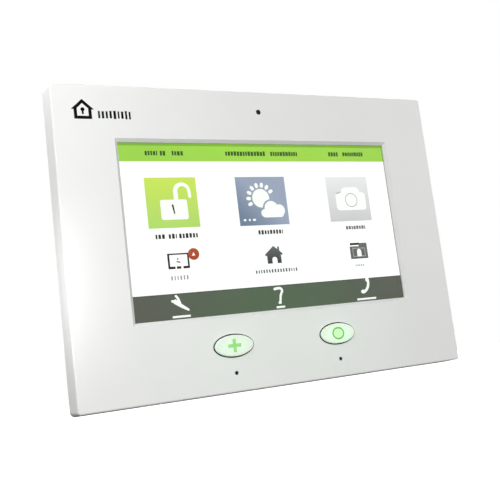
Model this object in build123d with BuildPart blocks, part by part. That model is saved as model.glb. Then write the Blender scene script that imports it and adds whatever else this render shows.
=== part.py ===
"""Wall-mounted alarm keypad panel with a seven-inch touch screen and two lit buttons.

The row frame: +Z up, +X to the right as someone faces the panel, -Y towards that person.
The wall is the plane y = 0, and the origin is on it, behind the middle of the case.
"Height" in this file always means the distance off the wall, towards the room.
"""

from build123d import *
import math
import os

os.makedirs("parts", exist_ok=True)

# ---------------------------------------------------------------- driving sizes, millimetres
# the front face, and the rim behind it where the case is widest
CASE_W = 214.5
CASE_H = 152.5
FRONT_EDGE_R = 0.9
RIM_HEIGHT = 11.8
RIM_FLARE = 1.1
RIM_CORNER_R = 2.4
REAR_TAPER = 1.3
WALL_T = 2.2
INNER_R = 1.0
FRONT_HEIGHT = 24.0
PARTING_HEIGHT = 7.5
BACK_HEIGHT = 4.5
BACK_INSET = 0.6
BACK_CORNER_R = 1.6
BACK_EDGE_CHAMFER = 0.9
FLOOR_TOP = BACK_HEIGHT + WALL_T
INNER_TOP = FRONT_HEIGHT - WALL_T
LIP_T = 1.4
LIP_TOP = 9.5
LIP_GAP = 0.15
FIT_GAP = 0.3

# screen
SCREEN_Z = 4.9
WINDOW_W = 154.4
WINDOW_H = 87.2
WINDOW_BEVEL = 1.5
MODULE_W = 165.0
MODULE_H = 98.0
FRAME_T = 0.5
LCD_BACK = 15.9
BACKLIGHT_BACK = LCD_BACK + 0.6
PANEL_BACK = 18.8
PANEL_FRONT = 20.0
GLASS_BACK = 20.3
GLASS_FRONT = 21.4
GLASS_W = MODULE_W - 1.0
GLASS_H = MODULE_H - 1.0
GLASS_CORNER_R = 1.0
GASKET_INSET = 1.0
GASKET_SETBACK = 0.2
RIB_T = 1.2
RIB_GAP = 0.4
RIB_BACK = LCD_BACK + 1.0
LED_BAR_H = 2.4

# buttons
BUTTON_X = 29.7
BUTTON_Z = -54.0
BUTTON_W = 20.4
BUTTON_H = 10.4
BUTTON_GAP = 0.6
BUTTON_FRONT = FRONT_HEIGHT + 1.1
BUTTON_FLANGE = 1.4
FLANGE_FRONT = 21.5
FLANGE_BACK = 20.4
BUTTON_EDGE_R = 0.6
PLUS_W = 7.0
PLUS_H = 6.5
PLUS_ARM = 1.7
RING_W = 7.3
RING_H = 6.5
RING_T = 0.9
SYMBOL_DEPTH = 0.7
STEM_R = 2.0
PIN_R = 0.8
PIN_SPACING = 16.0
PIN_END = 14.2
PLUNGER_TOP = 19.5

# keypad board, its switches, lights and microphones
KEYPAD_W = 84.0
KEYPAD_H = 22.6
KEYPAD_Z = -60.6
KEYPAD_BACK = 15.6
KEYPAD_FRONT = 16.8
SWITCH_SIZE = 6.0
SWITCH_TOP = 18.8
SWITCH_FLOOR = 17.0
SWITCH_BORE_R = 1.9
SWITCH_PLUNGER_R = 1.6
SWITCH_PLUNGER_BACK = 17.6
BUTTON_LED = (3.0, 1.6, 0.8)
BUTTON_LED_SPACING = 10.4
KEYPAD_SCREWS = [(0.0, -54.0), (-39.4, -69.0), (39.4, -69.0)]
MIC_X = 29.8
MIC_Z = -67.2
MIC_HOLE_R = 1.0
MIC_R = 2.2
MIC_TOP = 18.8
BOOT_R = 2.6
BOOT_BORE_R = 0.4
BOOT_TIP = FRONT_HEIGHT - 0.4
HOLE_PLUG_GAP = 0.05

# camera
CAMERA_Z = 65.3
CAMERA_HOLE_R = 1.4
CAMERA_WINDOW_R = 3.2
CAMERA_WINDOW_BACK = 21.2
CAMERA_WINDOW_TIP = FRONT_HEIGHT - 0.3
CAMERA_BODY = 8.5
CAMERA_BODY_TOP = 19.4
CAMERA_BARREL_R = 3.0
CAMERA_BARREL_TOP = 21.0
CAMERA_LENS_R = 1.7
CAMERA_LENS_BACK = 20.3
CAMERA_LENS_GAP = 0.05
CAMERA_BOARD = (13.0, 10.0)
CAMERA_BOARD_BACK = 15.5
CAMERA_BOARD_FRONT = 16.5

# chassis and main board
CHASSIS_W = 184.0
CHASSIS_H = 104.0
CHASSIS_Z = 5.0
CHASSIS_BACK = 14.3
CHASSIS_FRONT = 15.8
CHASSIS_CORNER_R = 3.0
CHASSIS_SCREW_X = 88.0
CHASSIS_SCREW_SPAN = 92.0
BOARD_X = -36.0
BOARD_Z = 6.0
BOARD_W = 108.0
BOARD_H = 88.0
BOARD_BACK = 11.0
BOARD_FRONT = 12.6
BOARD_CORNER_R = 1.5
BOARD_SCREW_INSET = 4.0

# power terminals and the window they are wired through
TERMINAL_X = -4.0
TERMINAL_W = 16.0
TERMINAL_Z = -31.0
TERMINAL_H = 11.0
TERMINAL_BACK = 7.0
TERMINAL_FRONT = 14.1
TERMINAL_PITCH = 7.0
TERMINAL_SCREW_R = 1.9
TERMINAL_WELL = 3.4
TERMINAL_MOUTH = (3.2, 2.0)
TERMINAL_MOUTH_IN = TERMINAL_BACK + TERMINAL_WELL + 1.4
TERMINAL_MOUTH_DEPTH = 7.7
TERMINAL_SCREW_BACK = TERMINAL_BACK + 0.4
TERMINAL_SCREW_SLOT = (0.7, 0.8)
WIRE_WINDOW_W = 26.0
WIRE_WINDOW_H = 26.0
WIRE_WINDOW_Z = -25.0
NOTCH_W = 22.0
NOTCH_TOP = -12.0

# screws: (clearance hole radius, shank radius, pilot hole radius, head radius)
CASE_SCREW = (1.8, 1.45, 1.5, 2.8)
SMALL_SCREW = (1.5, 1.1, 1.15, 2.2)
CASE_SCREW_X = 98.0
CASE_SCREW_Z = 69.0
POST_R = 3.3
POST_END = 9.0
SMALL_POST_R = 2.5
HEAD_T = 1.6
CASE_SCREW_TIP = 15.5
KEYPAD_SCREW_TIP = INNER_TOP - 2.0
CHASSIS_SCREW_TIP = INNER_TOP - 2.5
BOARD_SCREW_TIP = CHASSIS_FRONT - 0.3
PILOT_SPARE = 1.0
RECESS_SPAN = 1.2
RECESS_ARM = 0.3
RECESS_DEPTH = 0.6

# battery bay and its sliding door
BATTERY_X = 57.0
BATTERY_Z = -2.0
BATTERY_W = 64.0
BATTERY_H = 72.0
BATTERY_BACK = 6.9
BATTERY_FRONT = 13.9
BATTERY_CORNER_R = 3.0
BATTERY_FOAM_INSET = 4.0
BAY_GAP = 1.0
DOOR_W = 68.4
DOOR_H = 81.0
DOOR_BACK = 4.8
DOOR_FRONT = 6.4
DOOR_GAP = 0.3
DOOR_TRAVEL = 9.0
DOOR_TAB_W = 1.5
DOOR_TAB_L = 10.0
DOOR_TAB_BACK = 5.7
DOOR_TAB_Z = 33.0
LIP_GROOVE_BACK = 5.4
BAY_RIM_T = 4.0
BAY_RIM_TOP = 8.2
FINGER_GROOVES = 5
FINGER_GROOVE_PITCH = 2.6
FINGER_GROOVE = (18.0, 1.2, 0.5)

# wall plate and its hooks
PLATE_W = 192.0
PLATE_H = 132.0
PLATE_T = 2.4
PLATE_RIM_TOP = 4.2
PLATE_RIM_T = 1.6
PLATE_CORNER_R = 5.0
PLATE_OPENING = (52.0, 68.0)
WALL_SCREW_SPACING = (170.0, 80.0)
WALL_SCREW_R = 2.2
BOX_SCREW_SPACING = 83.3
BOX_SCREW_R = 2.1
HOOK_X = 70.0
HOOK_TOPS = (58.0, -56.0)
HOOK_W = 10.0
HOOK_T = 3.0
HOOK_TIP = 3.5
HOOK_TIP_BACK = 7.0
HOOK_TIP_FRONT = 9.0
HOOK_GAP = 0.1
HOOK_SIDE_GAP = 0.6
LIFT = 4.0

# tamper switch
TAMPER_X = -76.0
TAMPER_Z = 28.0
TAMPER_TIP_R = 2.0
TAMPER_TIP_BACK = 2.7
TAMPER_TIP_ROUND = 1.2
TAMPER_FLANGE_R = 3.0
TAMPER_FLANGE = (7.0, 7.6)
TAMPER_STEM_R = 0.9
TAMPER_STEM_TOP = 9.4
TAMPER_BODY = 7.4
TAMPER_BODY_BACK = 8.8
TAMPER_BORE_TOP = 10.6
TAMPER_GAP = 0.35

# sound
SPEAKER_X = 70.0
SPEAKER_W = 38.0
SPEAKER_TOP_Z = -52.0
SPEAKER_BOTTOM_Z = -70.5
SPEAKER_BACK = 9.6
SPEAKER_FRONT = 20.6
SPEAKER_CORNER_R = 1.5
SPEAKER_GASKET_INSET = 0.5
CONE_MARGIN = 2.0
CONE_T = 1.2
SIREN_X = -70.0
SIREN_R = 5.4
SIREN_LENGTH = 10.0
SIREN_SOUND_R = 1.5
SIREN_RECESS = 1.0
SLOT_W = 1.4
SLOT_L = 7.0
SLOT_PITCH = 3.0
SPEAKER_SLOTS = 11
SIREN_SLOTS = 4

# vents in the back shell
VENT = (2.0, 14.0)
VENT_PITCH = 5.0
VENT_COLUMNS = 9
VENT_ROWS = 2
VENT_X = -42.0
VENT_Z = 16.0

# electronics on the wall side of the main board: (x, z, width, height, thickness)
PROCESSOR = (-48.0, 2.0, 14.0, 14.0, 1.2)
MEMORY_CHIPS = [(-31.0, 12.0, 9.0, 12.0, 1.0), (-31.0, -3.0, 9.0, 12.0, 1.0)]
POWER_COILS = [(-38.0, -22.0, 7.0, 7.0, 3.2), (-29.0, -22.0, 7.0, 7.0, 3.2)]
COIL_CORNER_R = 1.5
SHIELDS = [(-40.0, 6.0, 36.0, 36.0, 2.4), (-40.0, 38.0, 24.0, 14.0, 2.4)]
SHIELD_T = 0.3
LCD_CONNECTOR = (-62.0, -33.5, 26.0, 4.0, 1.4)
KEYPAD_CONNECTOR = (-29.4, -33.5, 12.0, 4.0, 1.4)
CAMERA_CONNECTOR = (0.0, 46.0, 10.0, 4.0, 1.4)
CARD_SLOT = (-72.0, -22.0, 15.0, 14.0, 1.6)
CARD_SOCKET = (-4.0, -8.0, 28.0, 4.0, 3.4)
BATTERY_SOCKET = (14.2, -22.0, 6.6, 8.0, 3.2)
CLOCK_CELL = (-51.0, -22.0)
CLOCK_CELL_R = 5.0
CLOCK_CELL_T = 2.0
CARD_W = 28.0
CARD_L = 40.0
CARD_BACK = 8.6
CARD_FRONT = 9.6
CARD_TONGUE_W = CARD_W - 2.0
CARD_CAN = (24.0, 26.0, 1.3)
CARD_CAN_RISE = 3.0
RADIO = (-72.0, 2.0, 20.0, 28.0)
RADIO_BACK = 8.4
RADIO_FRONT = 9.6
RADIO_PINS = (2.5, 20.0)
PLUG_W = 3.4
PLUG_H = 7.0
PLUG_T = 2.4
LEAD_R = 0.6
LEAD_PITCH = 2.2
FOAM_T = 0.4

# antennas, stuck to the top wall inside
ANTENNA_BACK = 10.5
ANTENNA_FRONT = 20.5
ANTENNA_T = 0.8
WIFI_ANTENNA = (-65.0, 30.0)
CELL_ANTENNA = (58.0, 56.0)

# flat flex cables
FLEX_BEND = 0.8
FLEX_T = 0.2
FLEX_AT_BOARD = 10.3
FLEX_EDGE_GAP = 2.0
FLEX_MARGIN = 1.0
LCD_FLEX_HEIGHT = LCD_BACK + 0.5

# values worked out from those
RIM_W = CASE_W + 2 * RIM_FLARE
RIM_H = CASE_H + 2 * RIM_FLARE
FRONT_SLOPE = math.degrees(math.atan2(RIM_FLARE, FRONT_HEIGHT - RIM_HEIGHT))
REAR_SLOPE = math.degrees(math.atan2(REAR_TAPER, RIM_HEIGHT - PARTING_HEIGHT))
INNER_W = CASE_W - 2 * WALL_T
INNER_H = CASE_H - 2 * WALL_T
SOUND_HEIGHT = (SPEAKER_BACK + SPEAKER_FRONT) / 2
BOTTOM_INNER_Z = -INNER_H / 2
BUTTON_POINTS = [(-BUTTON_X, BUTTON_Z), (BUTTON_X, BUTTON_Z)]
MIC_POINTS = [(-MIC_X, MIC_Z), (MIC_X, MIC_Z)]
CASE_SCREW_POINTS = [(x, z) for x in (-CASE_SCREW_X, CASE_SCREW_X) for z in (-CASE_SCREW_Z, 0, CASE_SCREW_Z)]
CHASSIS_SCREW_POINTS = [
    (x, CHASSIS_Z + z)
    for x in (-CHASSIS_SCREW_X, CHASSIS_SCREW_X)
    for z in (-CHASSIS_SCREW_SPAN / 2, CHASSIS_SCREW_SPAN / 2)
]
BOARD_SCREW_POINTS = [
    (BOARD_X + side * (BOARD_W / 2 - BOARD_SCREW_INSET), BOARD_Z + end * (BOARD_H / 2 - BOARD_SCREW_INSET))
    for side in (-1, 1)
    for end in (-1, 1)
]
HOOK_POINTS = [(x, top) for x in (-HOOK_X, HOOK_X) for top in HOOK_TOPS]


def level(height):
    """The plane at this height off the wall: its x is +X, its y is +Z, and it faces the room."""
    return Plane.XZ.offset(height)


def slab(x, z, width, tall, back, front, corner=0.0):
    """A plate or block that stands between two heights off the wall."""
    with BuildPart() as block:
        with BuildSketch(level(back)):
            with Locations((x, z)):
                if corner:
                    RectangleRounded(width, tall, corner)
                else:
                    Rectangle(width, tall)
        extrude(amount=front - back)
    return block


def disc(points, radius, back, front):
    """Equal round discs or rods between two heights off the wall."""
    with BuildPart() as rods:
        with BuildSketch(level(back)):
            with Locations(*points):
                Circle(radius)
        extrude(amount=front - back)
    return rods


def rear_screws(points, sizes, seat, tip, head_t):
    """Pan-head screws driven from the wall side: the head seats at one height, the tip is further in."""
    shank_r, head_r = sizes[1], sizes[3]
    with BuildPart() as screws:
        with BuildSketch(level(seat - head_t)):
            with Locations(*points):
                Circle(head_r)
        extrude(amount=head_t)
        with BuildSketch(level(seat)):
            with Locations(*points):
                Circle(shank_r)
        extrude(amount=tip - seat)
        # a cross recess in each head
        with BuildSketch(level(seat - head_t)):
            with Locations(*points):
                Rectangle(head_r * RECESS_SPAN, head_r * RECESS_ARM)
                Rectangle(head_r * RECESS_ARM, head_r * RECESS_SPAN)
        extrude(amount=head_t * RECESS_DEPTH, mode=Mode.SUBTRACT)
    return screws


def ribbon(x, width, route, thickness):
    """A flat flex cable: a strip this wide at x that follows (height, z) corners, seen from the side."""
    with BuildPart() as strip:
        with BuildSketch(Plane.YZ.offset(x - width / 2)):
            with BuildLine():
                FilletPolyline(*[(-height, z) for height, z in route], radius=FLEX_BEND)
            trace(line_width=thickness)
        extrude(amount=width)
    return strip


# ================================================================ the case
with BuildPart() as front_bezel:
    # the sides slope in from the rim, both towards the front and towards the parting line
    with BuildSketch(level(RIM_HEIGHT)):
        RectangleRounded(RIM_W, RIM_H, RIM_CORNER_R)
    extrude(amount=FRONT_HEIGHT - RIM_HEIGHT, taper=FRONT_SLOPE)
    with BuildSketch(level(RIM_HEIGHT)):
        RectangleRounded(RIM_W, RIM_H, RIM_CORNER_R)
    extrude(amount=PARTING_HEIGHT - RIM_HEIGHT, taper=REAR_SLOPE)
    fillet(front_bezel.faces().sort_by(Axis.Y)[0].edges(), FRONT_EDGE_R)
    # the hollow behind the front
    with BuildSketch(level(PARTING_HEIGHT)):
        RectangleRounded(INNER_W, INNER_H, INNER_R)
    extrude(amount=INNER_TOP - PARTING_HEIGHT, mode=Mode.SUBTRACT)
    # six long posts that the case screws bite into
    with BuildSketch(level(POST_END)):
        with Locations(*CASE_SCREW_POINTS):
            Circle(POST_R)
    extrude(amount=INNER_TOP - POST_END)
    # four shorter posts for the chassis, and three for the keypad board
    with BuildSketch(level(CHASSIS_FRONT)):
        with Locations(*CHASSIS_SCREW_POINTS):
            Circle(SMALL_POST_R)
    extrude(amount=INNER_TOP - CHASSIS_FRONT)
    with BuildSketch(level(KEYPAD_FRONT)):
        with Locations(*KEYPAD_SCREWS):
            Circle(SMALL_POST_R)
    extrude(amount=INNER_TOP - KEYPAD_FRONT)
    # a rib all round the screen module
    with BuildSketch(level(RIB_BACK)):
        with Locations((0, SCREEN_Z)):
            Rectangle(MODULE_W + 2 * (RIB_GAP + RIB_T), MODULE_H + 2 * (RIB_GAP + RIB_T))
            Rectangle(MODULE_W + 2 * RIB_GAP, MODULE_H + 2 * RIB_GAP, mode=Mode.SUBTRACT)
    extrude(amount=INNER_TOP - RIB_BACK)
    # screw pilots
    with BuildSketch(level(POST_END)):
        with Locations(*CASE_SCREW_POINTS):
            Circle(CASE_SCREW[2])
    extrude(amount=CASE_SCREW_TIP + PILOT_SPARE - POST_END, mode=Mode.SUBTRACT)
    with BuildSketch(level(KEYPAD_BACK)):
        with Locations(*CHASSIS_SCREW_POINTS, *KEYPAD_SCREWS):
            Circle(SMALL_SCREW[2])
    extrude(amount=INNER_TOP - KEYPAD_BACK - PILOT_SPARE, mode=Mode.SUBTRACT)
    # the screen window, with a bevel round its front edge
    with BuildSketch(level(INNER_TOP)):
        with Locations((0, SCREEN_Z)):
            Rectangle(WINDOW_W, WINDOW_H)
    extrude(amount=WALL_T, mode=Mode.SUBTRACT)
    with BuildSketch(level(FRONT_HEIGHT)):
        with Locations((0, SCREEN_Z)):
            Rectangle(WINDOW_W + 2 * WINDOW_BEVEL, WINDOW_H + 2 * WINDOW_BEVEL)
    extrude(amount=-WINDOW_BEVEL, taper=45, mode=Mode.SUBTRACT)
    # button, camera and microphone holes
    with BuildSketch(level(INNER_TOP)):
        with Locations(*BUTTON_POINTS):
            Ellipse(BUTTON_W / 2 + BUTTON_GAP, BUTTON_H / 2 + BUTTON_GAP)
        with Locations((0, CAMERA_Z)):
            Circle(CAMERA_HOLE_R)
        with Locations(*MIC_POINTS):
            Circle(MIC_HOLE_R)
    extrude(amount=WALL_T, mode=Mode.SUBTRACT)
    # sound slots through the bottom wall, for the speaker and for the siren
    with BuildSketch(Plane.XY.offset(-RIM_H / 2)):
        with Locations((SPEAKER_X, -SOUND_HEIGHT)):
            with GridLocations(SLOT_PITCH, SLOT_L, SPEAKER_SLOTS, 1):
                SlotOverall(SLOT_L, SLOT_W, rotation=90)
        with Locations((SIREN_X, -SOUND_HEIGHT)):
            with GridLocations(SLOT_PITCH, SLOT_L, SIREN_SLOTS, 1):
                SlotOverall(SLOT_L, SLOT_W, rotation=90)
    extrude(amount=WALL_T + RIM_FLARE, mode=Mode.SUBTRACT)
front_bezel.part.label = "front_bezel"
export_step(front_bezel.part, "parts/front_bezel.step")

with BuildPart() as back_shell:
    with BuildSketch(level(BACK_HEIGHT)):
        RectangleRounded(CASE_W - 2 * BACK_INSET, CASE_H - 2 * BACK_INSET, BACK_CORNER_R)
    extrude(amount=PARTING_HEIGHT - BACK_HEIGHT)
    chamfer(back_shell.faces().sort_by(Axis.Y)[-1].edges(), BACK_EDGE_CHAMFER)
    # the lip that fits inside the bezel's wall
    with BuildSketch(level(PARTING_HEIGHT)):
        RectangleRounded(INNER_W - 2 * LIP_GAP, INNER_H - 2 * LIP_GAP, INNER_R - LIP_GAP)
    extrude(amount=LIP_TOP - PARTING_HEIGHT)
    with BuildSketch(level(FLOOR_TOP)):
        Rectangle(INNER_W - 2 * (LIP_GAP + LIP_T), INNER_H - 2 * (LIP_GAP + LIP_T))
    extrude(amount=LIP_TOP - FLOOR_TOP, mode=Mode.SUBTRACT)
    # bosses that meet the bezel's posts, clear of the lip
    with BuildSketch(level(FLOOR_TOP)):
        with Locations(*CASE_SCREW_POINTS):
            Circle(POST_R)
    extrude(amount=POST_END - FLOOR_TOP)
    # the rim round the battery bay, which the door slides against
    with BuildSketch(level(FLOOR_TOP)):
        with Locations((BATTERY_X, BATTERY_Z)):
            Rectangle(BATTERY_W + 2 * (BAY_GAP + BAY_RIM_T), BATTERY_H + 2 * (BAY_GAP + BAY_RIM_T))
    extrude(amount=BAY_RIM_TOP - FLOOR_TOP)
    with BuildSketch(level(BACK_HEIGHT)):
        with Locations((BATTERY_X, BATTERY_Z)):
            Rectangle(BATTERY_W + 2 * BAY_GAP, BATTERY_H + 2 * BAY_GAP)
    extrude(amount=BAY_RIM_TOP - BACK_HEIGHT, mode=Mode.SUBTRACT)
    # the channel that the door slides in, the grooves for its tabs, and the notches that let them out
    with BuildSketch(level(BACK_HEIGHT)):
        with Locations((BATTERY_X, BATTERY_Z + DOOR_TRAVEL / 2)):
            Rectangle(DOOR_W + 2 * DOOR_GAP, DOOR_H + DOOR_TRAVEL + 2 * DOOR_GAP)
    extrude(amount=FLOOR_TOP - BACK_HEIGHT, mode=Mode.SUBTRACT)
    with BuildSketch(level(LIP_GROOVE_BACK)):
        with Locations((BATTERY_X, BATTERY_Z + DOOR_TRAVEL / 2)):
            Rectangle(DOOR_W + 2 * (DOOR_TAB_W + DOOR_GAP), DOOR_H + DOOR_TRAVEL + 2 * DOOR_GAP)
    extrude(amount=FLOOR_TOP - LIP_GROOVE_BACK, mode=Mode.SUBTRACT)
    with BuildSketch(level(BACK_HEIGHT)):
        with Locations((BATTERY_X, BATTERY_Z + DOOR_TRAVEL)):
            with GridLocations(DOOR_W, 2 * DOOR_TAB_Z, 1, 2):
                Rectangle(DOOR_W + 2 * (DOOR_TAB_W + DOOR_GAP), DOOR_TAB_L + 4 * DOOR_GAP)
    extrude(amount=FLOOR_TOP - BACK_HEIGHT, mode=Mode.SUBTRACT)
    # slots for the wall plate's hooks
    with BuildSketch(level(BACK_HEIGHT)):
        for hook_x, hook_top in HOOK_POINTS:
            slot_top = hook_top + HOOK_GAP
            slot_bottom = hook_top - HOOK_T - LIFT - 2 * HOOK_GAP
            with Locations((hook_x, (slot_top + slot_bottom) / 2)):
                Rectangle(HOOK_W + 2 * HOOK_SIDE_GAP, slot_top - slot_bottom)
    extrude(amount=WALL_T, mode=Mode.SUBTRACT)
    # wire window, tamper hole and vents
    with BuildSketch(level(BACK_HEIGHT)):
        with Locations((TERMINAL_X, WIRE_WINDOW_Z)):
            RectangleRounded(WIRE_WINDOW_W, WIRE_WINDOW_H, WALL_T)
        with Locations((TAMPER_X, TAMPER_Z)):
            Circle(TAMPER_TIP_R + TAMPER_GAP)
        with Locations((VENT_X, VENT_Z)):
            with GridLocations(VENT_PITCH, VENT[1] + VENT_PITCH, VENT_COLUMNS, VENT_ROWS):
                SlotOverall(VENT[1], VENT[0], rotation=90)
    extrude(amount=WALL_T, mode=Mode.SUBTRACT)
    # counterbored holes for the case screws
    with BuildSketch(level(BACK_HEIGHT)):
        with Locations(*CASE_SCREW_POINTS):
            Circle(CASE_SCREW[0])
    extrude(amount=POST_END - BACK_HEIGHT, mode=Mode.SUBTRACT)
    with BuildSketch(level(BACK_HEIGHT)):
        with Locations(*CASE_SCREW_POINTS):
            Circle(CASE_SCREW[3] + FIT_GAP)
    extrude(amount=WALL_T, mode=Mode.SUBTRACT)
back_shell.part.label = "back_shell"
export_step(back_shell.part, "parts/back_shell.step")

case_screws = rear_screws(CASE_SCREW_POINTS, CASE_SCREW, FLOOR_TOP, CASE_SCREW_TIP, HEAD_T)
case_screws.part.label = "case_screws"
export_step(case_screws.part, "parts/case_screws.step")

with BuildPart() as battery_door:
    with BuildSketch(level(DOOR_BACK)):
        with Locations((BATTERY_X, BATTERY_Z)):
            Rectangle(DOOR_W, DOOR_H)
    extrude(amount=DOOR_FRONT - DOOR_BACK)
    # four tabs that ride in the grooves
    with BuildSketch(level(DOOR_TAB_BACK)):
        with Locations((BATTERY_X, BATTERY_Z)):
            with GridLocations(DOOR_W, 2 * DOOR_TAB_Z, 1, 2):
                Rectangle(DOOR_W + 2 * DOOR_TAB_W, DOOR_TAB_L)
    extrude(amount=DOOR_FRONT - DOOR_TAB_BACK)
    # finger grooves near its lower edge
    with BuildSketch(level(DOOR_BACK)):
        with Locations((BATTERY_X, BATTERY_Z - DOOR_H / 4)):
            with GridLocations(1, FINGER_GROOVE_PITCH, 1, FINGER_GROOVES):
                SlotOverall(FINGER_GROOVE[0], FINGER_GROOVE[1])
    extrude(amount=FINGER_GROOVE[2], mode=Mode.SUBTRACT)
battery_door.part.label = "battery_door"
export_step(battery_door.part, "parts/battery_door.step")

# ================================================================ the screen
with BuildPart() as screen_gasket:
    with BuildSketch(level(GLASS_FRONT)):
        with Locations((0, SCREEN_Z)):
            Rectangle(MODULE_W - 2 * GASKET_INSET, MODULE_H - 2 * GASKET_INSET)
            Rectangle(WINDOW_W + 2 * GASKET_SETBACK, WINDOW_H + 2 * GASKET_SETBACK, mode=Mode.SUBTRACT)
    extrude(amount=INNER_TOP - GLASS_FRONT)
screen_gasket.part.label = "screen_gasket"
export_step(screen_gasket.part, "parts/screen_gasket.step")

touch_glass = slab(0, SCREEN_Z, GLASS_W, GLASS_H, GLASS_BACK, GLASS_FRONT, GLASS_CORNER_R)
touch_glass.part.label = "touch_glass"
export_step(touch_glass.part, "parts/touch_glass.step")

LIT_W = MODULE_W - 4 * FRAME_T
LIT_H = MODULE_H - 4 * FRAME_T
lcd_panel = slab(0, SCREEN_Z, LIT_W, LIT_H, PANEL_BACK, PANEL_FRONT)
lcd_panel.part.label = "lcd_panel"
export_step(lcd_panel.part, "parts/lcd_panel.step")

backlight_unit = slab(0, SCREEN_Z + LED_BAR_H / 2, LIT_W, LIT_H - LED_BAR_H, BACKLIGHT_BACK, PANEL_BACK)
backlight_unit.part.label = "backlight_unit"
export_step(backlight_unit.part, "parts/backlight_unit.step")

led_bar_z = SCREEN_Z - LIT_H / 2 + LED_BAR_H / 2
backlight_led_bar = slab(0, led_bar_z, LIT_W, LED_BAR_H, BACKLIGHT_BACK, PANEL_BACK)
backlight_led_bar.part.label = "backlight_led_bar"
export_step(backlight_led_bar.part, "parts/backlight_led_bar.step")

with BuildPart() as lcd_frame:
    with BuildSketch(level(LCD_BACK)):
        with Locations((0, SCREEN_Z)):
            Rectangle(MODULE_W, MODULE_H)
    extrude(amount=GLASS_BACK - LCD_BACK)
    with BuildSketch(level(LCD_BACK + FRAME_T)):
        with Locations((0, SCREEN_Z)):
            Rectangle(MODULE_W - 2 * FRAME_T, MODULE_H - 2 * FRAME_T)
    extrude(amount=GLASS_BACK - LCD_BACK, mode=Mode.SUBTRACT)
lcd_frame.part.label = "lcd_frame"
export_step(lcd_frame.part, "parts/lcd_frame.step")

# ================================================================ the buttons
SYMBOL_BACK = BUTTON_FRONT - SYMBOL_DEPTH


def plus_sketch():
    """The plus sign's outline, at the emergency button."""
    with BuildSketch(level(SYMBOL_BACK)) as plus:
        with Locations((-BUTTON_X, BUTTON_Z)):
            Rectangle(PLUS_W, PLUS_ARM)
            Rectangle(PLUS_ARM, PLUS_H)
    return plus.sketch


def ring_sketch():
    """The oval ring's outline, at the home button."""
    with BuildSketch(level(SYMBOL_BACK)) as ring:
        with Locations((BUTTON_X, BUTTON_Z)):
            Ellipse(RING_W / 2, RING_H / 2)
            Ellipse(RING_W / 2 - RING_T, RING_H / 2 - RING_T, mode=Mode.SUBTRACT)
    return ring.sketch


def button_cap(x, symbol):
    """A cap with a flange behind the bezel, a stem on the switch, two guide pins and a symbol pocket."""
    with BuildPart() as cap:
        with BuildSketch(level(FLANGE_BACK)):
            with Locations((x, BUTTON_Z)):
                Ellipse(BUTTON_W / 2, BUTTON_H / 2)
        extrude(amount=BUTTON_FRONT - FLANGE_BACK)
        fillet(cap.faces().sort_by(Axis.Y)[0].edges(), BUTTON_EDGE_R)
        with BuildSketch(level(FLANGE_BACK)):
            with Locations((x, BUTTON_Z)):
                Ellipse(BUTTON_W / 2 + BUTTON_FLANGE, BUTTON_H / 2 + BUTTON_FLANGE)
        extrude(amount=FLANGE_FRONT - FLANGE_BACK)
        with BuildSketch(level(PLUNGER_TOP)):
            with Locations((x, BUTTON_Z)):
                Circle(STEM_R)
        extrude(amount=FLANGE_BACK - PLUNGER_TOP)
        with BuildSketch(level(PIN_END)):
            with Locations((x, BUTTON_Z)):
                with GridLocations(PIN_SPACING, 1, 2, 1):
                    Circle(PIN_R)
        extrude(amount=FLANGE_BACK - PIN_END)
        extrude(symbol, amount=SYMBOL_DEPTH, dir=(0, -1, 0), mode=Mode.SUBTRACT)
    return cap


emergency_button = button_cap(-BUTTON_X, plus_sketch())
emergency_button.part.label = "emergency_button"
export_step(emergency_button.part, "parts/emergency_button.step")

home_button = button_cap(BUTTON_X, ring_sketch())
home_button.part.label = "home_button"
export_step(home_button.part, "parts/home_button.step")

with BuildPart() as emergency_symbol:
    extrude(plus_sketch(), amount=SYMBOL_DEPTH, dir=(0, -1, 0))
emergency_symbol.part.label = "emergency_symbol"
export_step(emergency_symbol.part, "parts/emergency_symbol.step")

with BuildPart() as home_symbol:
    extrude(ring_sketch(), amount=SYMBOL_DEPTH, dir=(0, -1, 0))
home_symbol.part.label = "home_symbol"
export_step(home_symbol.part, "parts/home_symbol.step")

with BuildPart() as keypad_board:
    with BuildSketch(level(KEYPAD_BACK)):
        with Locations((0, KEYPAD_Z)):
            Rectangle(KEYPAD_W, KEYPAD_H)
        with Locations(*KEYPAD_SCREWS):
            Circle(SMALL_SCREW[0], mode=Mode.SUBTRACT)
        for x, z in BUTTON_POINTS:
            with Locations((x, z)):
                with GridLocations(PIN_SPACING, 1, 2, 1):
                    Circle(PIN_R + FIT_GAP, mode=Mode.SUBTRACT)
    extrude(amount=KEYPAD_FRONT - KEYPAD_BACK)
keypad_board.part.label = "keypad_board"
export_step(keypad_board.part, "parts/keypad_board.step")

keypad_screws = rear_screws(KEYPAD_SCREWS, SMALL_SCREW, KEYPAD_BACK, KEYPAD_SCREW_TIP, HEAD_T)
keypad_screws.part.label = "keypad_screws"
export_step(keypad_screws.part, "parts/keypad_screws.step")

with BuildPart() as tact_switches:
    with BuildSketch(level(KEYPAD_FRONT)):
        with Locations(*BUTTON_POINTS):
            Rectangle(SWITCH_SIZE, SWITCH_SIZE)
    extrude(amount=SWITCH_TOP - KEYPAD_FRONT)
    with BuildSketch(level(SWITCH_FLOOR)):
        with Locations(*BUTTON_POINTS):
            Circle(SWITCH_BORE_R)
    extrude(amount=SWITCH_TOP - SWITCH_FLOOR, mode=Mode.SUBTRACT)
tact_switches.part.label = "tact_switches"
export_step(tact_switches.part, "parts/tact_switches.step")

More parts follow.
